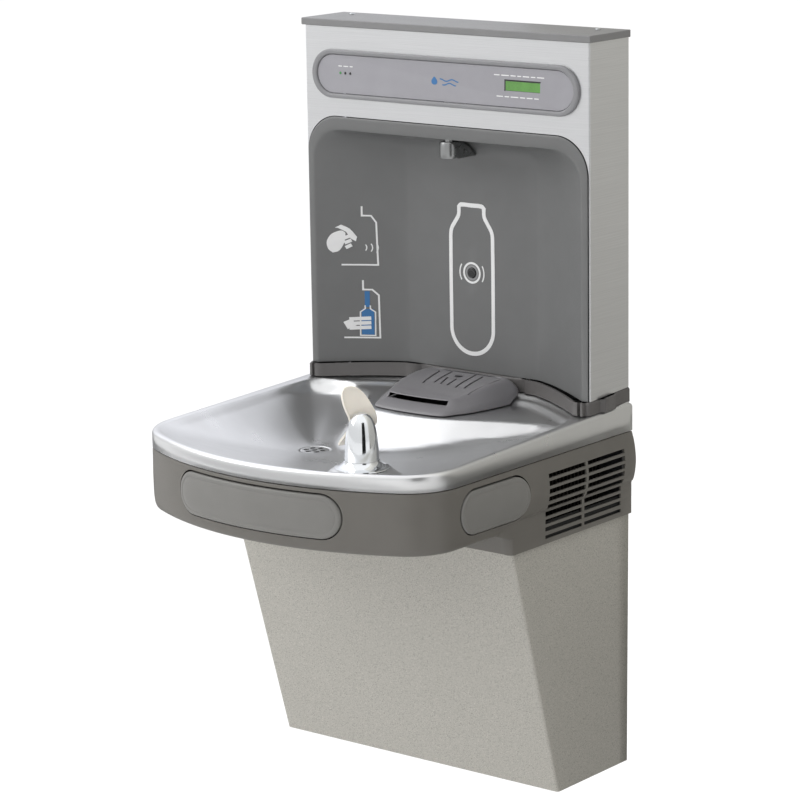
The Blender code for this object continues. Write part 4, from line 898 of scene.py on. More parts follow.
def mouth_guard():
    """Leaf swept along a spine of (x, z, half width, shift of its middle), with a hole for the jet."""
    x, y = BUBBLER.x, BUBBLER.y
    spine = [(-43.0, 481.5, 2.5, 7.0), (-36.0, 487.0, 6.5, 7.0), (-28.0, 493.5, 9.5, 7.2),
             (-19.0, 502.5, 13.0, 8.2), (-11.0, 512.0, 16.3, 8.0), (-7.0, 522.0, 16.5, 5.0),
             (-8.0, 533.0, 16.6, 1.6), (-11.5, 543.0, 15.3, 0.2), (-14.5, 552.0, 12.4, -0.8),
             (-15.0, 557.6, 7.5, -2.2), (-15.1, 559.4, 2.5, -2.8)]
    grid = []
    for sx, sz, w, aside in spline(spine, 6, sharp=120.0):
        row = []
        for k in range(25):
            t = -1.0 + k / 12.0
            curl = 5.0 * (w / 20.0) ** 2 * t ** 4
            across = aside + w * t
            row.append((x + sx + curl + GUARD_LEAN * across, y + across, sz - 0.2 * curl))
        grid.append(row)
    leaf = put("mouth_guard_leaf", loft(grid, closed=False, caps=(False, False)), "guard",
               ("mouth_guard",), smooth=60.0, solid=GUARD_SHEET, offset=0.0)
    carve(leaf, revolve([(4.0, x - 16.0), (4.0, x + 3.0)], axis="x", at=(y, JET_Z), n=24))
    soften(leaf, 0.9, 3, 50.0)


# ------------------------------------------------------------------ drip tray
def tray_ring(inward, front, side_rise, front_rise):
    """Ring of the tray between its foot and its crest; the sides bulge and the front is a ramp."""
    ring = []
    for x, y in spline(both_sides(list(TRAY_PLAN)), 4, closed=True, sharp=80.0):
        foot = curve(TRAY_FOOT, y)
        half = foot + (curve(TRAY_CREST, y) - foot) * inward
        px = x * half / foot
        py = TRAY_REAR + (y - TRAY_REAR) * (front - TRAY_REAR) / (TRAY_FRONT - TRAY_REAR)
        low = max(DECK_Z + 0.9, 1.15 * (deck_z(px, py) - DECK_Z) + DECK_Z + 1.6)
        w = smooth01((-146.0 - y) / 20.0)
        rise = side_rise + (front_rise - side_rise) * w
        ring.append((px, py, low + (soft_curve(TRAY_TOP, py, 12.0) - low) * rise))
    return ring


def drip_tray():
    """Tray shell with its mouth slot and top slots; its inner faces and the floor under it are near-black
    painted shade.
    """
    rings = [tray_ring(*step) for step in TRAY_STEPS]
    # the shell's inner faces are near-black painted shade
    tray = put("drip_tray_grid", ladder_loft(rings, cap_first=False), "tray", ("drip_tray",),
               smooth=50.0, solid=2.0, inner="inside")
    slots = bmesh.new()
    for x0, y0, x1, y1, w in TRAY_SLOTS:
        prism([(x0 - w, y0), (x0 + w, y0), (x1 + w, y1), (x1 - w, y1)], "z", 480.0, 515.0, bm=slots)
    revolve([(6.6, 480.0), (6.6, 515.0)], at=(-3.0, -55.0), n=40, bm=slots)
    add_box(slots, -48.5, 48.5, -168.0, -142.0, 485.6, 491.4)
    carve(tray, slots, smooth=40.0)
    # floor painted near-black as shade, so the slots look dark
    plan = both_sides([(0.9 * x, -38.0 + 0.95 * (y - TRAY_REAR)) for x, y in TRAY_PLAN])
    floor = prism(plan, "z", DECK_Z + 1.0, DECK_Z + 1.8)
    put("drip_tray_shade_floor", floor, "inside")


# ------------------------------------------------------------------ shroud and push bars
def shroud_profile(y):
    """Inset and height pairs down the shroud's outer face at distance y from the wall."""
    bulge = smooth01((y + 372.0) / 130.0)
    top = [(9.0, 448.8), (1.0, 448.8), (0.0, 446.0)]
    top += [(0.0 - 2.6 * bulge, 437.0), (-0.2 - 4.4 * bulge, 426.0), (-0.3 - 5.4 * bulge, 412.0)]
    rear = [(-5.0, 401.0), (-3.2, 391.0), (-1.0, 384.6), (1.2, 381.6), (1.4, 375.0), (1.5, 362.0)]
    fore = [(-0.2 - 4.6 * bulge, 401.0), (-3.0 * bulge, 391.0), (0.4 - 1.2 * bulge, 384.0), (1.4, 377.0),
            (4.0, 371.6), (9.5, 369.3)]
    w = smooth01((y + 294.0) / 32.0)
    mix = [(a[0] + (b[0] - a[0]) * w, a[1] + (b[1] - a[1]) * w) for a, b in zip(fore, rear)]
    return top + mix


def side_x(y, z):
    """Half width of the shroud's outer face at a point of its side."""
    rows = [(b, a) for a, b in reversed(spline(shroud_profile(y)[2:], 4, sharp=70.0))]
    return HALF - curve(rows, z)


def collar_point(turn, along_front, z):
    """Outer face of the collar round the cabinet: a rounded corner, then the leaning front."""
    lean = PANEL_SLOPE * (COLLAR_TOP - z)
    if along_front <= 0.0:
        a = math.pi / 2 * turn
        return (COLLAR_HALF - COLLAR_ROUND + COLLAR_ROUND * math.cos(a),
                -COLLAR_FRONT + COLLAR_ROUND - COLLAR_ROUND * math.sin(a) + lean * turn, z)
    return ((COLLAR_HALF - COLLAR_ROUND) * (1.0 - along_front), -COLLAR_FRONT + lean, z)


def shroud_columns():
    """One column of points per station along the wrap, from its top flange to the collar's foot."""
    ys = [-0.6, -20.0, -50.0, -84.0, -120.0, -160.0, -196.0, -216.0, -232.0, -244.0, -252.0, -258.0]
    ys += [-262.0 - 4.0 * k for k in range(9)] + [-304.0, -318.0, -332.0, -348.0]
    front = front_stations(22, 16)
    columns = []
    for i, station in enumerate(side_stations(ys) + front):
        side = i < len(ys)
        y = station[1] if side else -400.0
        profile = spline(shroud_profile(y), 3, sharp=60.0)
        column = []
        for d, z in profile:
            px, py = station_point(station, d)
            column.append((px, py, z))
        if side and y >= -COLLAR_TURN:
            back = max(y, COLLAR_ROUND - COLLAR_FRONT)
            column.append((COLLAR_HALF, back, profile[-1][1]))
            column.append((COLLAR_HALF, back, COLLAR_LOW))
            column.append((COLLAR_HALF - COLLAR_SHEET, back, COLLAR_LOW))
        else:
            turn = min(1.0, (-COLLAR_TURN - column[0][1]) / 32.0)
            share = max(0.0, (i - len(ys) + 1.0) / len(front))
            column.append(collar_point(turn, share, profile[-1][1]))
            x, y, z = collar_point(turn, share, COLLAR_LOW)
            a = math.pi / 2 * turn
            column.append((x, y, z))
            column.append((x - COLLAR_SHEET * math.cos(a), y + COLLAR_SHEET * math.sin(a), z))
        columns.append(column)
    left = [[(-x, y, z) for x, y, z in c] for c in reversed(columns[:-1])]
    return columns + left


def side_bar_ring(inset, x):
    """Outline of a side push bar, inset, in the plane at x."""
    half = (SIDE_HI.y - SIDE_LO.y) / 2
    mid = (SIDE_HI.y + SIDE_LO.y) / 2
    ring = pill(half - inset, BAR_HALF_Z - inset, middle_points=12)
    return [(x, mid + a, (SIDE_HI.z + SIDE_LO.z) / 2 + b) for a, b in ring]


def front_bar_ring(inset, y):
    """Outline of the front push bar, inset, in the plane at y."""
    ring = pill(BAR_HALF_X - inset, BAR_HALF_Z - inset, middle_points=28)
    return [(a, y, BAR.z + b) for a, b in ring]


def shroud():
    """Shroud shell with its louvres and the ports of the three push bars; its inner faces are near-black
    painted shade.
    """
    shell = loft(shroud_columns(), closed=False, caps=(False, False))
    # inner faces near-black: painted shade, so the louvres look dark
    obj = put("shroud_shell", shell, "shroud", ("shroud",), smooth=30.0, solid=2.4,
              inner="inside")
    holes = bmesh.new()
    for s in (-1, 1):
        x0, x1 = sorted((s * 222.0, s * 252.0))
        for z0, z1 in LOUVRES:
            for y0, y1 in LOUVRE_RUNS:
                add_box(holes, x0, x1, y0, y1, z0, z1)
        port = [side_bar_ring(-PORT_GAP, s * at) for at in SIDE_PORT]
        loft([[(x, y - 1.0, z + 0.7) for x, y, z in ring] for ring in port], bm=holes)
    port = [front_bar_ring(-PORT_GAP, at) for at in FRONT_PORT]
    loft([[(x + 0.6, y, z + 0.6) for x, y, z in ring] for ring in port], bm=holes)
    carve(obj, holes, smooth=30.0)


def push_bars():
    """The three bars; their faces follow the shroud's own curve."""
    back = cad_box("front_push_bar")[1].y
    rings = [[(x, back, z) for x, _, z in front_bar_ring(0.0, 0.0)]]
    for inset, proud in BAR_FACE:
        rings.append([(x, arc_front(x) - proud, z) for x, _, z in front_bar_ring(inset, 0.0)])
    put("front_bar_cap", ladder_loft(rings), "bar", ("front_push_bar",), body="front_bar",
        smooth=50.0)
    limit = SIDE_HI.x - 0.1
    for s, side in ((-1, "left"), (1, "right")):
        rings = [[(s * SIDE_LO.x, y, z) for _, y, z in side_bar_ring(0.0, 0.0)]]
        for inset, proud in BAR_FACE:
            ring = []
            for _, y, z in side_bar_ring(inset, 0.0):
                ring.append((s * min(limit, side_x(y, z) + 0.75 * proud), y, z))
            rings.append(ring)
        put(side + "_bar_cap", ladder_loft(rings), "bar", (side + "_push_bar",),
            body=side + "_bar", smooth=50.0)


# ------------------------------------------------------------------ cabinet panel and base trim
def lower_panel():
    """Painted cabinet shell; the part of it that the collar hides is coloured near-black as painted shade."""
    grid = []
    hidden = COLLAR_LOW + 0.8
    levels = [0.0, 0.0] + [hidden * k / 11.0 for k in range(1, 12)] + [PANEL_TOP]
    for level, z in enumerate(levels):
        inset = PANEL_HEM if level == 0 else 0.0
        half = PANEL_HALF + PANEL_FLARE * z / PANEL_TOP - inset
        front = PANEL_FRONT + PANEL_SLOPE * z - inset
        r = PANEL_ROUND - 0.1 * inset
        row = [(half, -WALL_GAP - (front - r) * k / 8.0, z) for k in range(8)]
        for i in range(9):
            a = math.pi / 2 * i / 8
            row.append((half - r + r * math.cos(a), -front + r - r * math.sin(a), z))
        row += [((half - r) * (1.0 - k / 10.0), -front, z) for k in range(1, 11)]
        grid.append(row + [(-x, y, zz) for x, y, zz in reversed(row[:-1])])
    shell = loft(grid, closed=False, caps=(False, False))
    obj = put("cabinet_panel", shell, "panel", ("lower_cabinet_panel",), smooth=40.0, solid=SHEET,
              inner="galvanised")
    # faces above the collar's lower edge get the near-black painted shade
    obj.data.materials.append(MATERIALS["inside"])
    for face in obj.data.polygons:
        if face.center.z > (hidden - HANG_Z) * MM:
            face.material_index = 2


def base_trim():
    """Dark band between basin and tower, swept with a rounded upper edge."""
    front = [(232.3, -0.7), (232.3, -40.0), (232.3, -84.0), (231.4, -88.6), (229.0, -91.2),
             (222.0, -91.4), (TRIM_HALF, -TRIM_DEPTH)]
    across = (206.0, 199.0, 186.0, 172.0, 158.0, 144.0, 130.0, 118.0, 105.0, 52.0, 0.0)
    front += [(x, trim_y(x)) for x in across]
    outer = mirror(spline(front, 4))
    rings = []
    for inset, drop in TRIM_PROFILE:
        ring = []
        for i, (x, y) in enumerate(outer):
            ax, ay = outer[max(0, i - 1)]
            bx, by = outer[min(len(outer) - 1, i + 1)]
            run = math.hypot(bx - ax, by - ay)
            nx, ny = -(by - ay) / run, (bx - ax) / run
            sign = 1.0 if ny > 0 or x * nx < 0 else -1.0
            keep = 1.0 if inset < 5.0 else min(1.0, 5.6 / inset)
            px, py = x + sign * nx * inset * keep, y + sign * ny * inset * keep
            ring.append((px, min(py, -0.7), rim_z(y) + 0.6 if drop is None else trim_top(y) - drop))
        rings.append(ring)
    bm = loft(list(zip(*(rings + [rings[0]]))), closed=False, caps=(False, False))
    put("base_trim_band", bm, "trim", ("base_trim",), smooth=40.0)


# ------------------------------------------------------------------ tower
def tower_wrapper():
    """Folded sheet round three sides of the tower, cut for the alcove and the control strip."""
    h, d = TOWER_HI.x, TOWER_DEPTH
    t, r = SHEET, 3.0
    outer = [(h, -0.7), (h, -40.0)]
    inner = [(h - t, -0.7), (h - t, -40.0)]
    for i in range(7):
        a = math.pi / 2 * i / 6
        outer.append((h - r + r * math.cos(a), -d + r - r * math.sin(a)))
        inner.append((h - r + (r - t) * math.cos(a), -d + r - (r - t) * math.sin(a)))
    outer.append((0.0, -d))
    inner.append((0.0, -d + t))
    ring = mirror(outer) + list(reversed(mirror(inner)))
    rows = [[(x, y, trim_top(y) + 0.4) for x, y in ring], [(x, y, TOWER_HI.z) for x, y in ring]]
    obj = put("tower_sheet", loft(rows), "tower", ("tower_wrapper",), smooth=40.0)
    corner = FLANGE_ROUND
    half, top = LINER_HI.x + 0.8, LINER_HI.z + 1.0
    arch = [(half, 400.0)]
    for i in range(25):
        a = math.pi / 2 * i / 24
        arch.append((half - corner + corner * math.cos(a), top - corner + corner * math.sin(a)))
    arch += [(-x, z) for x, z in reversed(arch)]
    holes = prism(arch, "y", -100.0, -80.0)
    prism([(x, z + STRIP_Z) for x, z in pill(*STRIP_CORE, 20)], "y", -100.0, -80.0, bm=holes)
    carve(obj, holes)


def node_block(node):
    """Block that fills a CAD node's box."""
    lo, hi = cad_box(node)
    return boxes((lo.x, hi.x, lo.y, hi.y, lo.z, hi.z))


def top_cover():
    """Plastic cap on the tower and the two slotted screws that hold it."""
    hi = cad_box("top_cover")[1]
    cover = put("tower_cap", node_block("top_cover"), "cover", ("top_cover",))
    holes = bmesh.new()
    for name in COVER_SCREWS:
        at = middle(name)
        revolve([(2.1, hi.z - 12.0), (2.1, hi.z + 5.0)], at=(at.x, at.y), n=24, bm=holes)
    carve(cover, holes)
    soften(cover, 1.3, 3)
    for name in COVER_SCREWS:
        slo, shi = cad_box(name)
        at = ((slo.x + shi.x) / 2, (slo.y + shi.y) / 2)
        z = shi.z
        head = [(1.8, slo.z), (1.8, z - 2.0), (3.8, z - 2.0), (3.75, z - 1.2), (3.1, z - 0.4), (1.8, z)]
        screw = put(name + "_head", revolve(head, at=at, n=32), "screws", (name,))
        groove = (at[0] - 2.6, at[0] + 2.6, at[1] - 0.4, at[1] + 0.4, z - 0.8, z + 1.0)
        carve(screw, boxes(groove))


def control_strip():
    """Rolled bezel swept from (half width, half height, y), its plate, the display and three lamps."""
    rings = []
    sweep = spline([(216.5, 32.3, -86.85), (216.5, 32.3, -88.6), (216.0, 31.8, -90.2),
                    (214.6, 30.9, -91.05), (212.4, 29.6, -91.2), (210.2, 28.1, -91.1),
                    (208.6, 26.7, -90.4), (207.9, 25.9, -89.0), (207.9, 25.9, -86.85)], 3, sharp=170.0)
    for half_w, half_h, y in sweep:
        rings.append([(x, min(y, -86.6), z + STRIP_Z) for x, z in pill(half_w, half_h, 22)])
    bezel = loft(rings + [rings[0]], caps=(False, False))
    put("control_ring", bezel, "bezel", ("control_bezel",), smooth=60.0)
    plate = prism([(x, z + STRIP_Z) for x, z in pill(207.3, 25.2, 22)], "y", -88.6, -84.0)
    face = put("control_plate", plate, "face", ("control_face",))
    lo, hi = cad_box("lcd_display")
    holes = boxes((lo.x - 0.3, hi.x + 0.3, -95.0, -80.0, lo.z - 0.3, hi.z + 0.3))
    for i in LAMPS:
        at = middle("status_lamp_%d" % i)
        revolve([(1.9, -95.0), (1.9, -80.0)], axis="y", at=(at.x, at.z), n=24, bm=holes)
    carve(face, holes)
    put("display_window", node_block("lcd_display"), "lcd", ("lcd_display",))
    # black strips on the display's top and left edges only: painted shade along the window
    shade_strips = boxes((lo.x - 1.6, hi.x + 1.2, INK_FRONT, INK_BACK, hi.z + 0.4, hi.z + 2.0),
                   (lo.x - 1.6, lo.x - 0.4, INK_FRONT, INK_BACK, lo.z - 0.6, hi.z + 0.4))
    put("display_shade_strips", shade_strips, "black")
    for i in LAMPS:
        at = middle("status_lamp_%d" % i)
        lens = spline([(1.6, -84.2), (1.6, -88.5), (1.3, -89.0), (0.5, -89.2)], 3)
        look = "lamp_on" if i == 1 else "lamp_off"
        dome = revolve(lens, axis="y", at=(at.x, at.z), n=24)
        put("lamp_lens_%d" % i, dome, look, ("status_lamp_%d" % i,))


def strip_plane(x):
    """The flat that the two waves are printed on."""
    return -88.7


def strip_marks():
    """Neutral marks on the strip: a droplet, two waves, and plain dashes where captions would stand."""
    drop = []
    for i in range(28):
        a = 2 * math.pi * i / 28
        r = 4.6 * (1.0 - 0.28 * math.sin(a))
        across = r * math.cos(a) * (1.0 - 0.35 * max(0.0, math.sin(a)))
        drop.append((-12.0 + across, STRIP_Z + 1.0 + 5.2 * math.sin(a)))
    bm = prism(drop, "y", INK_BACK, -88.8)
    for i, half in enumerate((15.0, 11.0)):
        wave = []
        for k in range(25):
            t = half * (k / 12.0 - 1.0)
            wave.append((12.0 + t, STRIP_Z + 2.5 - 5.0 * i + 1.3 * math.sin((t + 4.0 * i) / 3.0)))
        ribbon(bm, wave, 1.5, strip_plane, 0.1)
    put("strip_droplet", bm, "ink_blue")
    dashes = bmesh.new()
    for z, x0, lengths in ((909.5, 84.0, (9, 12, 8, 6, 10, 7, 11)), (882.5, 88.0, (10, 7, 12, 8, 9, 7)),
                           (905.5, -172.0, (6, 8, 5))):
        x = x0
        for length in lengths:
            add_box(dashes, x, x + length, INK_FRONT, INK_BACK, z, z + 1.3)
            x += length + 2.6
    put("strip_dashes", dashes, "ink_white")


# ------------------------------------------------------------------ bottle alcove
def alcove_liner():
    """Moulded recess: bowed back, sides that come forward, a cove overhead and a flat flange."""
    xs = [ALCOVE_FLAT * k / 6.0 for k in range(7)]
    xs += [ALCOVE_FLAT + (ALCOVE_HALF - ALCOVE_FLAT) * k / 30.0 for k in range(1, 31)]
    cove = spline([(782.0, 1.0), (797.0, 0.92), (809.0, 0.74), (816.5, 0.48), (820.0, 0.2),
                   (ALCOVE_TOP, 0.0)], 4)
    levels = [(None, 1.0)] + [(520.0 + 24.0 * k, 1.0) for k in range(11)] + cove
    turn_z = ALCOVE_TOP - ALCOVE_ROUND
    grid = []
    for z, share in levels:
        squeeze = 1.0
        if z is not None and z > turn_z:
            q = (z - turn_z) / ALCOVE_ROUND
            pull = ALCOVE_ROUND * (1.0 - math.sqrt(max(0.0, 1.0 - q * q)))
            squeeze = (ALCOVE_HALF - pull) / ALCOVE_HALF
        row = []
        for x in xs:
            y = -TOWER_DEPTH + (alcove_y(x) + TOWER_DEPTH) * share
            row.append((x * squeeze, y - 0.5, trim_top(y) + 0.4 if z is None else z))
        grid.append([(-x, y, q) for x, y, q in reversed(row[1:])] + row)
    bm = bmesh.new()
    rows = [[bm.verts.new(p) for p in ring] for ring in grid]
    bridge(bm, rows, closed=False)
    mouth = [row[-1] for row in rows] + list(reversed(rows[-1]))[1:-1] + [row[0] for row in reversed(rows)]
    lines = [mouth]
    for share, y in ((0.12, -87.8), (0.35, FLANGE_Y), (0.8, FLANGE_Y), (0.96, -87.8), (1.0, -87.2)):
        line = []
        for v in mouth:
            x, z = flange_point(v.co.x, v.co.z)
            line.append(bm.verts.new((v.co.x + (x - v.co.x) * share, y, v.co.z + (z - v.co.z) * share)))
        lines.append(line)
    bridge(bm, lines, closed=False)
    obj = put("alcove_shell", bm, "liner", ("alcove_liner",), smooth=60.0, solid=1.8)
    holes = revolve([(6.5, 800.0), (6.5, 850.0)], at=FILLER, n=32)
    revolve([(7.3, -40.0), (7.3, -15.0)], axis="y", at=(0.0, SENSOR_Z), n=40, bm=holes)
    carve(obj, holes, smooth=60.0)


def flange_point(x, z):
    """Point on the flange's outer edge next to a point of the alcove's mouth."""
    half, top = LINER_HI.x - 0.2, LINER_HI.z
    cx, cz = ALCOVE_HALF - ALCOVE_ROUND, ALCOVE_TOP - ALCOVE_ROUND
    if z < cz:
        return math.copysign(half, x), z
    if abs(x) <= cx:
        return x * half / ALCOVE_HALF, top
    a = math.atan2(z - cz, abs(x) - cx)
    across = half - FLANGE_ROUND + FLANGE_ROUND * math.cos(a)
    return math.copysign(across, x), top - FLANGE_ROUND + FLANGE_ROUND * math.sin(a)


def filler():
    """Nozzle with the slanting housing behind it, and the bottle sensor's window below."""
    stem = spline([(8.0, 795.0), (12.2, 795.6), (13.0, 797.6)], 3)
    stem += [(13.0, 801.0), (13.0, 814.0), (12.0, 816.6), (6.0, 816.6), (6.0, 840.6)]
    nozzle = put("filler_spout", revolve(stem, at=FILLER, n=56), "nozzle", ("filler_nozzle",))
    side = spline([(-74.0, 795.0), (-33.5, 795.0), (-36.0, 798.0), (-42.0, 802.5), (-50.0, 808.5),
                   (-61.0, 814.0), (-74.0, 816.6)], 3)
    carve(nozzle, prism(side, "x", -12.8, 12.8), "UNION")
    carve(nozzle, revolve([(5.2, 780.0), (5.2, 812.0)], at=FILLER, n=32))
    lo, hi = cad_box("sensor_lens")
    dome = spline([(6.8, hi.y), (6.8, lo.y + 0.8), (5.6, lo.y + 0.15), (1.0, lo.y)], 4)
    window = revolve(dome, axis="y", at=(0.0, SENSOR_Z), n=40)
    put("sensor_window", window, "lens", ("sensor_lens",))


# ------------------------------------------------------------------ printed graphics
def ribbon(bm, points, width, depth_at, thick):
    """Flat stroke with round ends along (x, z) points, lying on the surface y = depth_at(x)."""
    n = len(points)
    left, right = [], []
    for i, (x, z) in enumerate(points):
        ax, az = points[max(0, i - 1)]
        bx, bz = points[min(n - 1, i + 1)]
        run = math.hypot(bx - ax, bz - az)
        nx, nz = -(bz - az) / run * width / 2, (bx - ax) / run * width / 2
        if 0 < i < n - 1:
            d0 = math.hypot(x - ax, z - az)
            cx, cz = -(z - az) / d0, (x - ax) / d0
            stretch = 1.0 / max(0.5, (cx * nx + cz * nz) / (width / 2))
            nx, nz = nx * stretch, nz * stretch
        left.append((x + nx, z + nz))
        right.append((x - nx, z - nz))
    loops = []
    for lift in (0.0, -thick):
        loops.append([[bm.verts.new((x, depth_at(x) + lift, z)) for x, z in side]
                      for side in (left, right)])
    (la, ra), (lb, rb) = loops
    for i in range(n - 1):
        bm.faces.new((lb[i], lb[i + 1], rb[i + 1], rb[i]))
        bm.faces.new((la[i], ra[i], ra[i + 1], la[i + 1]))
        bm.faces.new((la[i], la[i + 1], lb[i + 1], lb[i]))
        bm.faces.new((ra[i], rb[i], rb[i + 1], ra[i + 1]))
    for i in (0, n - 1):
        bm.faces.new((la[i], lb[i], rb[i], ra[i]))


def patch(bm, outline, depth_at, lift):
    """Flat printed shape inside an (x, z) outline, laid on the surface y = depth_at(x)."""
    verts = [bm.verts.new((x, depth_at(x) - lift, z)) for x, z in outline]
    bmesh.ops.triangulate(bm, faces=[bm.faces.new(verts)])


def walk(points, step=3.0):
    """Resample a polyline so that strokes follow the curved wall."""
    out = [points[0]]
    for (ax, az), (bx, bz) in zip(points, points[1:]):
        k = max(1, int(math.hypot(bx - ax, bz - az) / step))
        out += [(ax + (bx - ax) * i / k, az + (bz - az) * i / k) for i in range(1, k + 1)]
    return out


def wall(x):
    """The alcove's face, with the hair's breadth that keeps the ink clear of it."""
    return alcove_y(x) - 0.5 - 0.05


def ring_band(bm, cz, r0, r1, y, thick, start=0.0, sweep=360.0):
    """Flat ring, or part of one, on the middle plane."""
    full = abs(sweep) >= 360.0
    n = 48 if full else 14
    arcs = [math.radians(start + sweep * i / n) for i in range(n if full else n + 1)]
    rings = []
    for a in arcs:
        c, s = math.cos(a), math.sin(a)
        rings.append([(r0 * c, y, cz + r0 * s), (r1 * c, y, cz + r1 * s),
                      (r1 * c, y - thick, cz + r1 * s), (r0 * c, y - thick, cz + r0 * s)])
    if full:
        loft(rings + [rings[0]], caps=(False, False), bm=bm)
    else:
        loft(rings, bm=bm)


def bottle_outline():
    """Outline of a standing bottle round the sensor, printed on the alcove's back."""
    half = [(0.0, 726.8), (17.0, 726.8), (20.5, 724.0), (21.0, 713.0), (26.5, 704.0), (32.8, 694.0),
            (34.4, 684.0), (34.4, 562.0)]
    for i in range(1, 13):
        a = math.pi / 2 * i / 12
        half.append((34.4 * math.cos(a), 562.0 - 33.8 * math.sin(a)))
    right = spline(half, 3, sharp=40.0)
    full = right + [(-x, z) for x, z in reversed(right[:-1])]
    bm = bmesh.new()
    ribbon(bm, full, 5.6, wall, 0.3)
    ring_band(bm, SENSOR_Z, 11.6, 14.4, wall(0.0), 0.3)
    for start in (-32.0, 148.0):
        ring_band(bm, SENSOR_Z, 18.9, 20.7, wall(0.0), 0.3, start, 64.0)
    put("bottle_outline", bm, "ink_white", smooth=60.0)
    recess = bmesh.new()
    ring_band(recess, SENSOR_Z, 7.4, 10.0, wall(0.0), 0.2)
    put("sensor_recess", recess, "ink_grey")


def pictograms():
    """Two generic icons by the alcove's left edge: a hand before the sensor, and a bottle being filled."""
    white, blue = bmesh.new(), bmesh.new()
    upper = [(-164.8, 715.0), (-164.8, 702.3), (-153.8, 702.3), (-147.6, 693.2), (-146.0, 635.6),
             (-189.4, 635.4)]
    lower = [(x, z - 100.6) for x, z in upper[:3]] + [(-145.8, 594.2), (-144.8, 536.0), (-187.9, 535.6)]
    for line in (upper, lower):
        ribbon(white, walk(line), 2.1, wall, 0.25)
    for i, reach in enumerate((6.5, 8.5, 10.5)):
        arc = []
        for k in range(9):
            a = math.radians(-38.0 + 76.0 * k / 8)
            arc.append((-166.0 + 5.0 * i + reach * math.cos(a), 659.0 + reach * math.sin(a)))
        ribbon(white, arc, 1.3, wall, 0.25)
    palm = [(-205.6, 667.0), (-201.0, 676.5), (-194.5, 680.5), (-188.0, 682.0), (-184.0, 679.0),
            (-184.5, 670.0), (-188.0, 660.0), (-192.5, 654.0), (-199.0, 652.0), (-204.0, 657.0)]
    patch(white, spline(palm, 4, closed=True), wall, 0.6)
    thumb = [(-196.0, 686.0), (-189.0, 690.0), (-179.0, 684.5), (-170.5, 673.5), (-172.0, 667.5),
             (-178.0, 671.5), (-186.0, 683.5)]
    patch(white, spline(thumb, 3, closed=True), wall, 0.6)
    for k in range(3):
        x, z = -182.5 + 1.2 * k, 674.0 - 6.4 * k
        ribbon(white, walk([(x - 4.0, z - 2.4), (x + 5.0 - k, z + 1.4)], 1.5), 4.6, wall, 0.7)
    ribbon(blue, walk([(-160.0, 599.4), (-160.0, 577.8)]), 6.0, wall, 0.25)
    ribbon(blue, walk([(-159.4, 575.0), (-159.4, 540.0)], 2.0), 15.0, wall, 0.25)
    bottle = [(-162.6, 580.0), (-162.6, 575.5), (-168.4, 571.0), (-168.6, 538.8), (-150.4, 538.8),
              (-150.2, 571.0), (-156.4, 575.5), (-156.4, 580.0)]
    ribbon(white, walk(bottle, 2.0), 1.5, wall, 0.35)
    for k in range(3):
        z = 562.0 - 6.2 * k
        ribbon(white, walk([(-181.5, z - 1.0), (-155.5, z + 0.6)], 2.0), 4.8, wall, 0.5 + 0.02 * k)
    ribbon(white, walk([(-186.0, 552.0), (-176.0, 557.0)], 2.0), 11.0, wall, 0.4)
    put("icons_white", white, "ink_white", smooth=60.0)
    put("icons_blue", blue, "ink_blue", smooth=60.0)


# ------------------------------------------------------------------ camera, light and floor
def add_camera():
    """Camera at the photograph's angle."""
    yaw, pitch, roll = [math.radians(angle) for angle in CAMERA_TURN]
    forward = Vector((-math.sin(yaw) * math.cos(pitch), math.cos(yaw) * math.cos(pitch), -math.sin(pitch)))
    level = Vector((math.cos(yaw), math.sin(yaw), 0.0))
    above = level.cross(forward)
    right = math.cos(roll) * level + math.sin(roll) * above
    up = -math.sin(roll) * level + math.cos(roll) * above
    data = bpy.data.cameras.new("camera")
    data.lens = CAMERA_LENS
    data.sensor_width = 36.0
    data.clip_end = 100.0
    camera = bpy.data.objects.new("camera", data)
    bpy.context.scene.collection.objects.link(camera)
    turn = Matrix((right, up, -forward)).transposed()
    camera.matrix_world = Matrix.Translation(CAMERA_PLACE) @ turn.to_4x4()
    bpy.context.scene.camera = camera


def area_light(name, place, target, size, power):
    """Square soft light turned towards a target."""
    data = bpy.data.lights.new(name, "AREA")
    data.shape = "RECTANGLE"
    data.size = size
    data.size_y = size
    data.energy = power
    light = bpy.data.objects.new(name, data)
    bpy.context.scene.collection.objects.link(light)
    light.location = place
    light.rotation_euler = (Vector(target) - Vector(place)).to_track_quat("-Z", "Y").to_euler()


def graded(tree, coordinate, stops, tint):
    """Colour ramp along a 0-1 coordinate; stops are (place, level) pairs."""
    ramp = tree.nodes.new("ShaderNodeValToRGB")
    tree.links.new(coordinate, ramp.inputs["Fac"])
    for i, (at, level) in enumerate(stops):
        stop = ramp.color_ramp.elements[i] if i < 2 else ramp.color_ramp.elements.new(at)
        stop.position = at
        stop.color = (level * tint[0], level * tint[1], level * tint[2], 1.0)
    return ramp.outputs["Color"]


def add_world():
    """Soft surround, brighter overhead than at the horizon."""
    world = bpy.data.worlds.new("studio")
    bpy.context.scene.world = world
    world.use_nodes = True
    tree = world.node_tree
    background = tree.nodes["Background"]
    split = tree.nodes.new("ShaderNodeSeparateXYZ")
    where = tree.nodes.new("ShaderNodeTexCoord")
    shift = tree.nodes.new("ShaderNodeMapRange")
    shift.inputs["From Min"].default_value = -1.0
    tree.links.new(where.outputs["Generated"], split.inputs[0])
    tree.links.new(split.outputs["Z"], shift.inputs["Value"])
    stops = ((0.0, 0.75), (0.5, 0.72), (0.62, 0.75), (0.8, 1.0), (1.0, 1.0))
    sky = graded(tree, shift.outputs["Result"], stops, WHITE)
    tree.links.new(sky, background.inputs["Color"])
    background.inputs["Strength"].default_value = 1.15


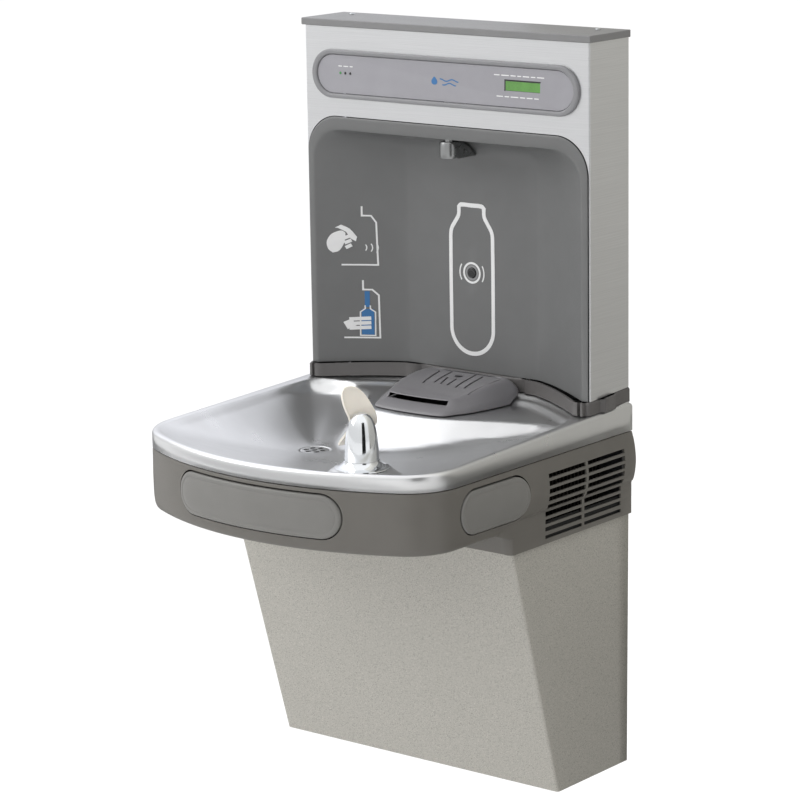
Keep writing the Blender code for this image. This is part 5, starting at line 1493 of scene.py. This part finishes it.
def add_card(name, corners, stops, tint, glossy_only=False):
    """Card graded from its lower to its upper edge: it is reflected, but the camera looks through it."""
    mesh = bpy.data.meshes.new(name)
    mesh.from_pydata(corners, [], [(0, 1, 2, 3)])
    mat = bpy.data.materials.new(name)
    mat.use_nodes = True
    tree = mat.node_tree
    tree.nodes.remove(tree.nodes["Principled BSDF"])
    split = tree.nodes.new("ShaderNodeSeparateXYZ")
    tree.links.new(tree.nodes.new("ShaderNodeTexCoord").outputs["Generated"], split.inputs[0])
    front, back = tree.nodes.new("ShaderNodeEmission"), tree.nodes.new("ShaderNodeEmission")
    tree.links.new(graded(tree, split.outputs["Z"], stops, tint), front.inputs["Color"])
    mix = tree.nodes.new("ShaderNodeMixShader")
    tree.links.new(tree.nodes.new("ShaderNodeNewGeometry").outputs["Backfacing"], mix.inputs["Fac"])
    tree.links.new(front.outputs["Emission"], mix.inputs[1])
    tree.links.new(back.outputs["Emission"], mix.inputs[2])
    tree.links.new(mix.outputs["Shader"], tree.nodes["Material Output"].inputs["Surface"])
    mesh.materials.append(mat)
    card = bpy.data.objects.new(name, mesh)
    bpy.context.scene.collection.objects.link(card)
    card.visible_camera = False
    card.visible_shadow = False
    card.visible_diffuse = not glossy_only


def upright(x0, y0, x1, y1, low, high):
    """Corners of a standing card between two plan points."""
    return [(x0, y0, low), (x1, y1, low), (x1, y1, high), (x0, y0, high)]


def add_cards():
    """Graded wall behind the fountain, cool on the left and warm on the right, and three plain cards."""
    high, y = 3.2, 0.1
    left = ((CARD_LOW, 0.08), (-0.3, 0.10), (-0.11, 0.16), (0.055, 0.36), (0.13, 0.60), (0.25, 0.85),
            (0.45, 1.12), (1.0, 1.3))
    right = ((CARD_LOW, 0.12), (-0.25, 0.15), (-0.08, 0.45), (0.1, 0.43), (0.35, 0.50), (0.6, 0.56),
             (1.5, 0.9))
    for name, x0, x1, tint, levels in (("wall_card_left", -5.0, 0.0, (0.98, 0.99, 1.04), left),
                                       ("wall_card_right", 0.0, 5.0, (1.03, 1.01, 0.94), right)):
        stops = [((z - CARD_LOW) / (high - CARD_LOW), level) for z, level in levels]
        add_card(name, upright(x0, y, x1, y, CARD_LOW, high), stops, tint)
    add_card("dark_card", upright(2.8, -1.5, 2.05, -2.5, CARD_LOW, 2.0), ((0.0, 0.01), (1.0, 0.02)), WHITE)
    add_card("side_card", upright(-1.6, 0.05, -1.6, -0.75, CARD_LOW, 0.0), ((0.0, 0.10), (1.0, 0.16)),
             (0.95, 0.97, 1.1), glossy_only=True)
    floor = [(-4.5, -5.5, -0.75), (0.3, -5.5, -0.75), (0.3, -0.7, -0.75), (-4.5, -0.7, -0.75)]
    add_card("floor_card", floor, ((0.0, 0.70), (1.0, 0.70)), WHITE, glossy_only=True)


def add_floor():
    """Plain pale floor under the hanging fountain."""
    mesh = bpy.data.meshes.new("studio_floor")
    drop = -HANG_Z * MM - FLOOR_GAP
    half = 40.0
    mesh.from_pydata([(-half, -half, drop), (half, -half, drop), (half, half, drop), (-half, half, drop)], [],
                     [(0, 1, 2, 3)])
    floor = bpy.data.objects.new("studio_floor", mesh)
    bpy.context.scene.collection.objects.link(floor)
    p = Paint("studio_floor", (0.93, 0.93, 0.93), 0.9)
    p.tint(p.remap(p.noise(3.0, 2.0), 0.3, 0.7, 0.0, 0.15), (0.90, 0.90, 0.90))
    mesh.materials.append(p.mat)


dress_cad_nodes()
basin()
drain()
bubbler()
mouth_guard()
drip_tray()
shroud()
push_bars()
lower_panel()
base_trim()
tower_wrapper()
top_cover()
control_strip()
strip_marks()
alcove_liner()
filler()
bottle_outline()
pictograms()

add_camera()
add_world()
add_floor()
add_cards()
bpy.context.scene.view_settings.view_transform = "Standard"
area_light("key_left", (-3.2, -3.0, 2.8), (0.0, -0.2, 0.1), 3.0, 60.0)
area_light("top_left", (-2.2, -0.2, 2.9), (0.0, -0.3, 0.05), 2.2, 24.0)
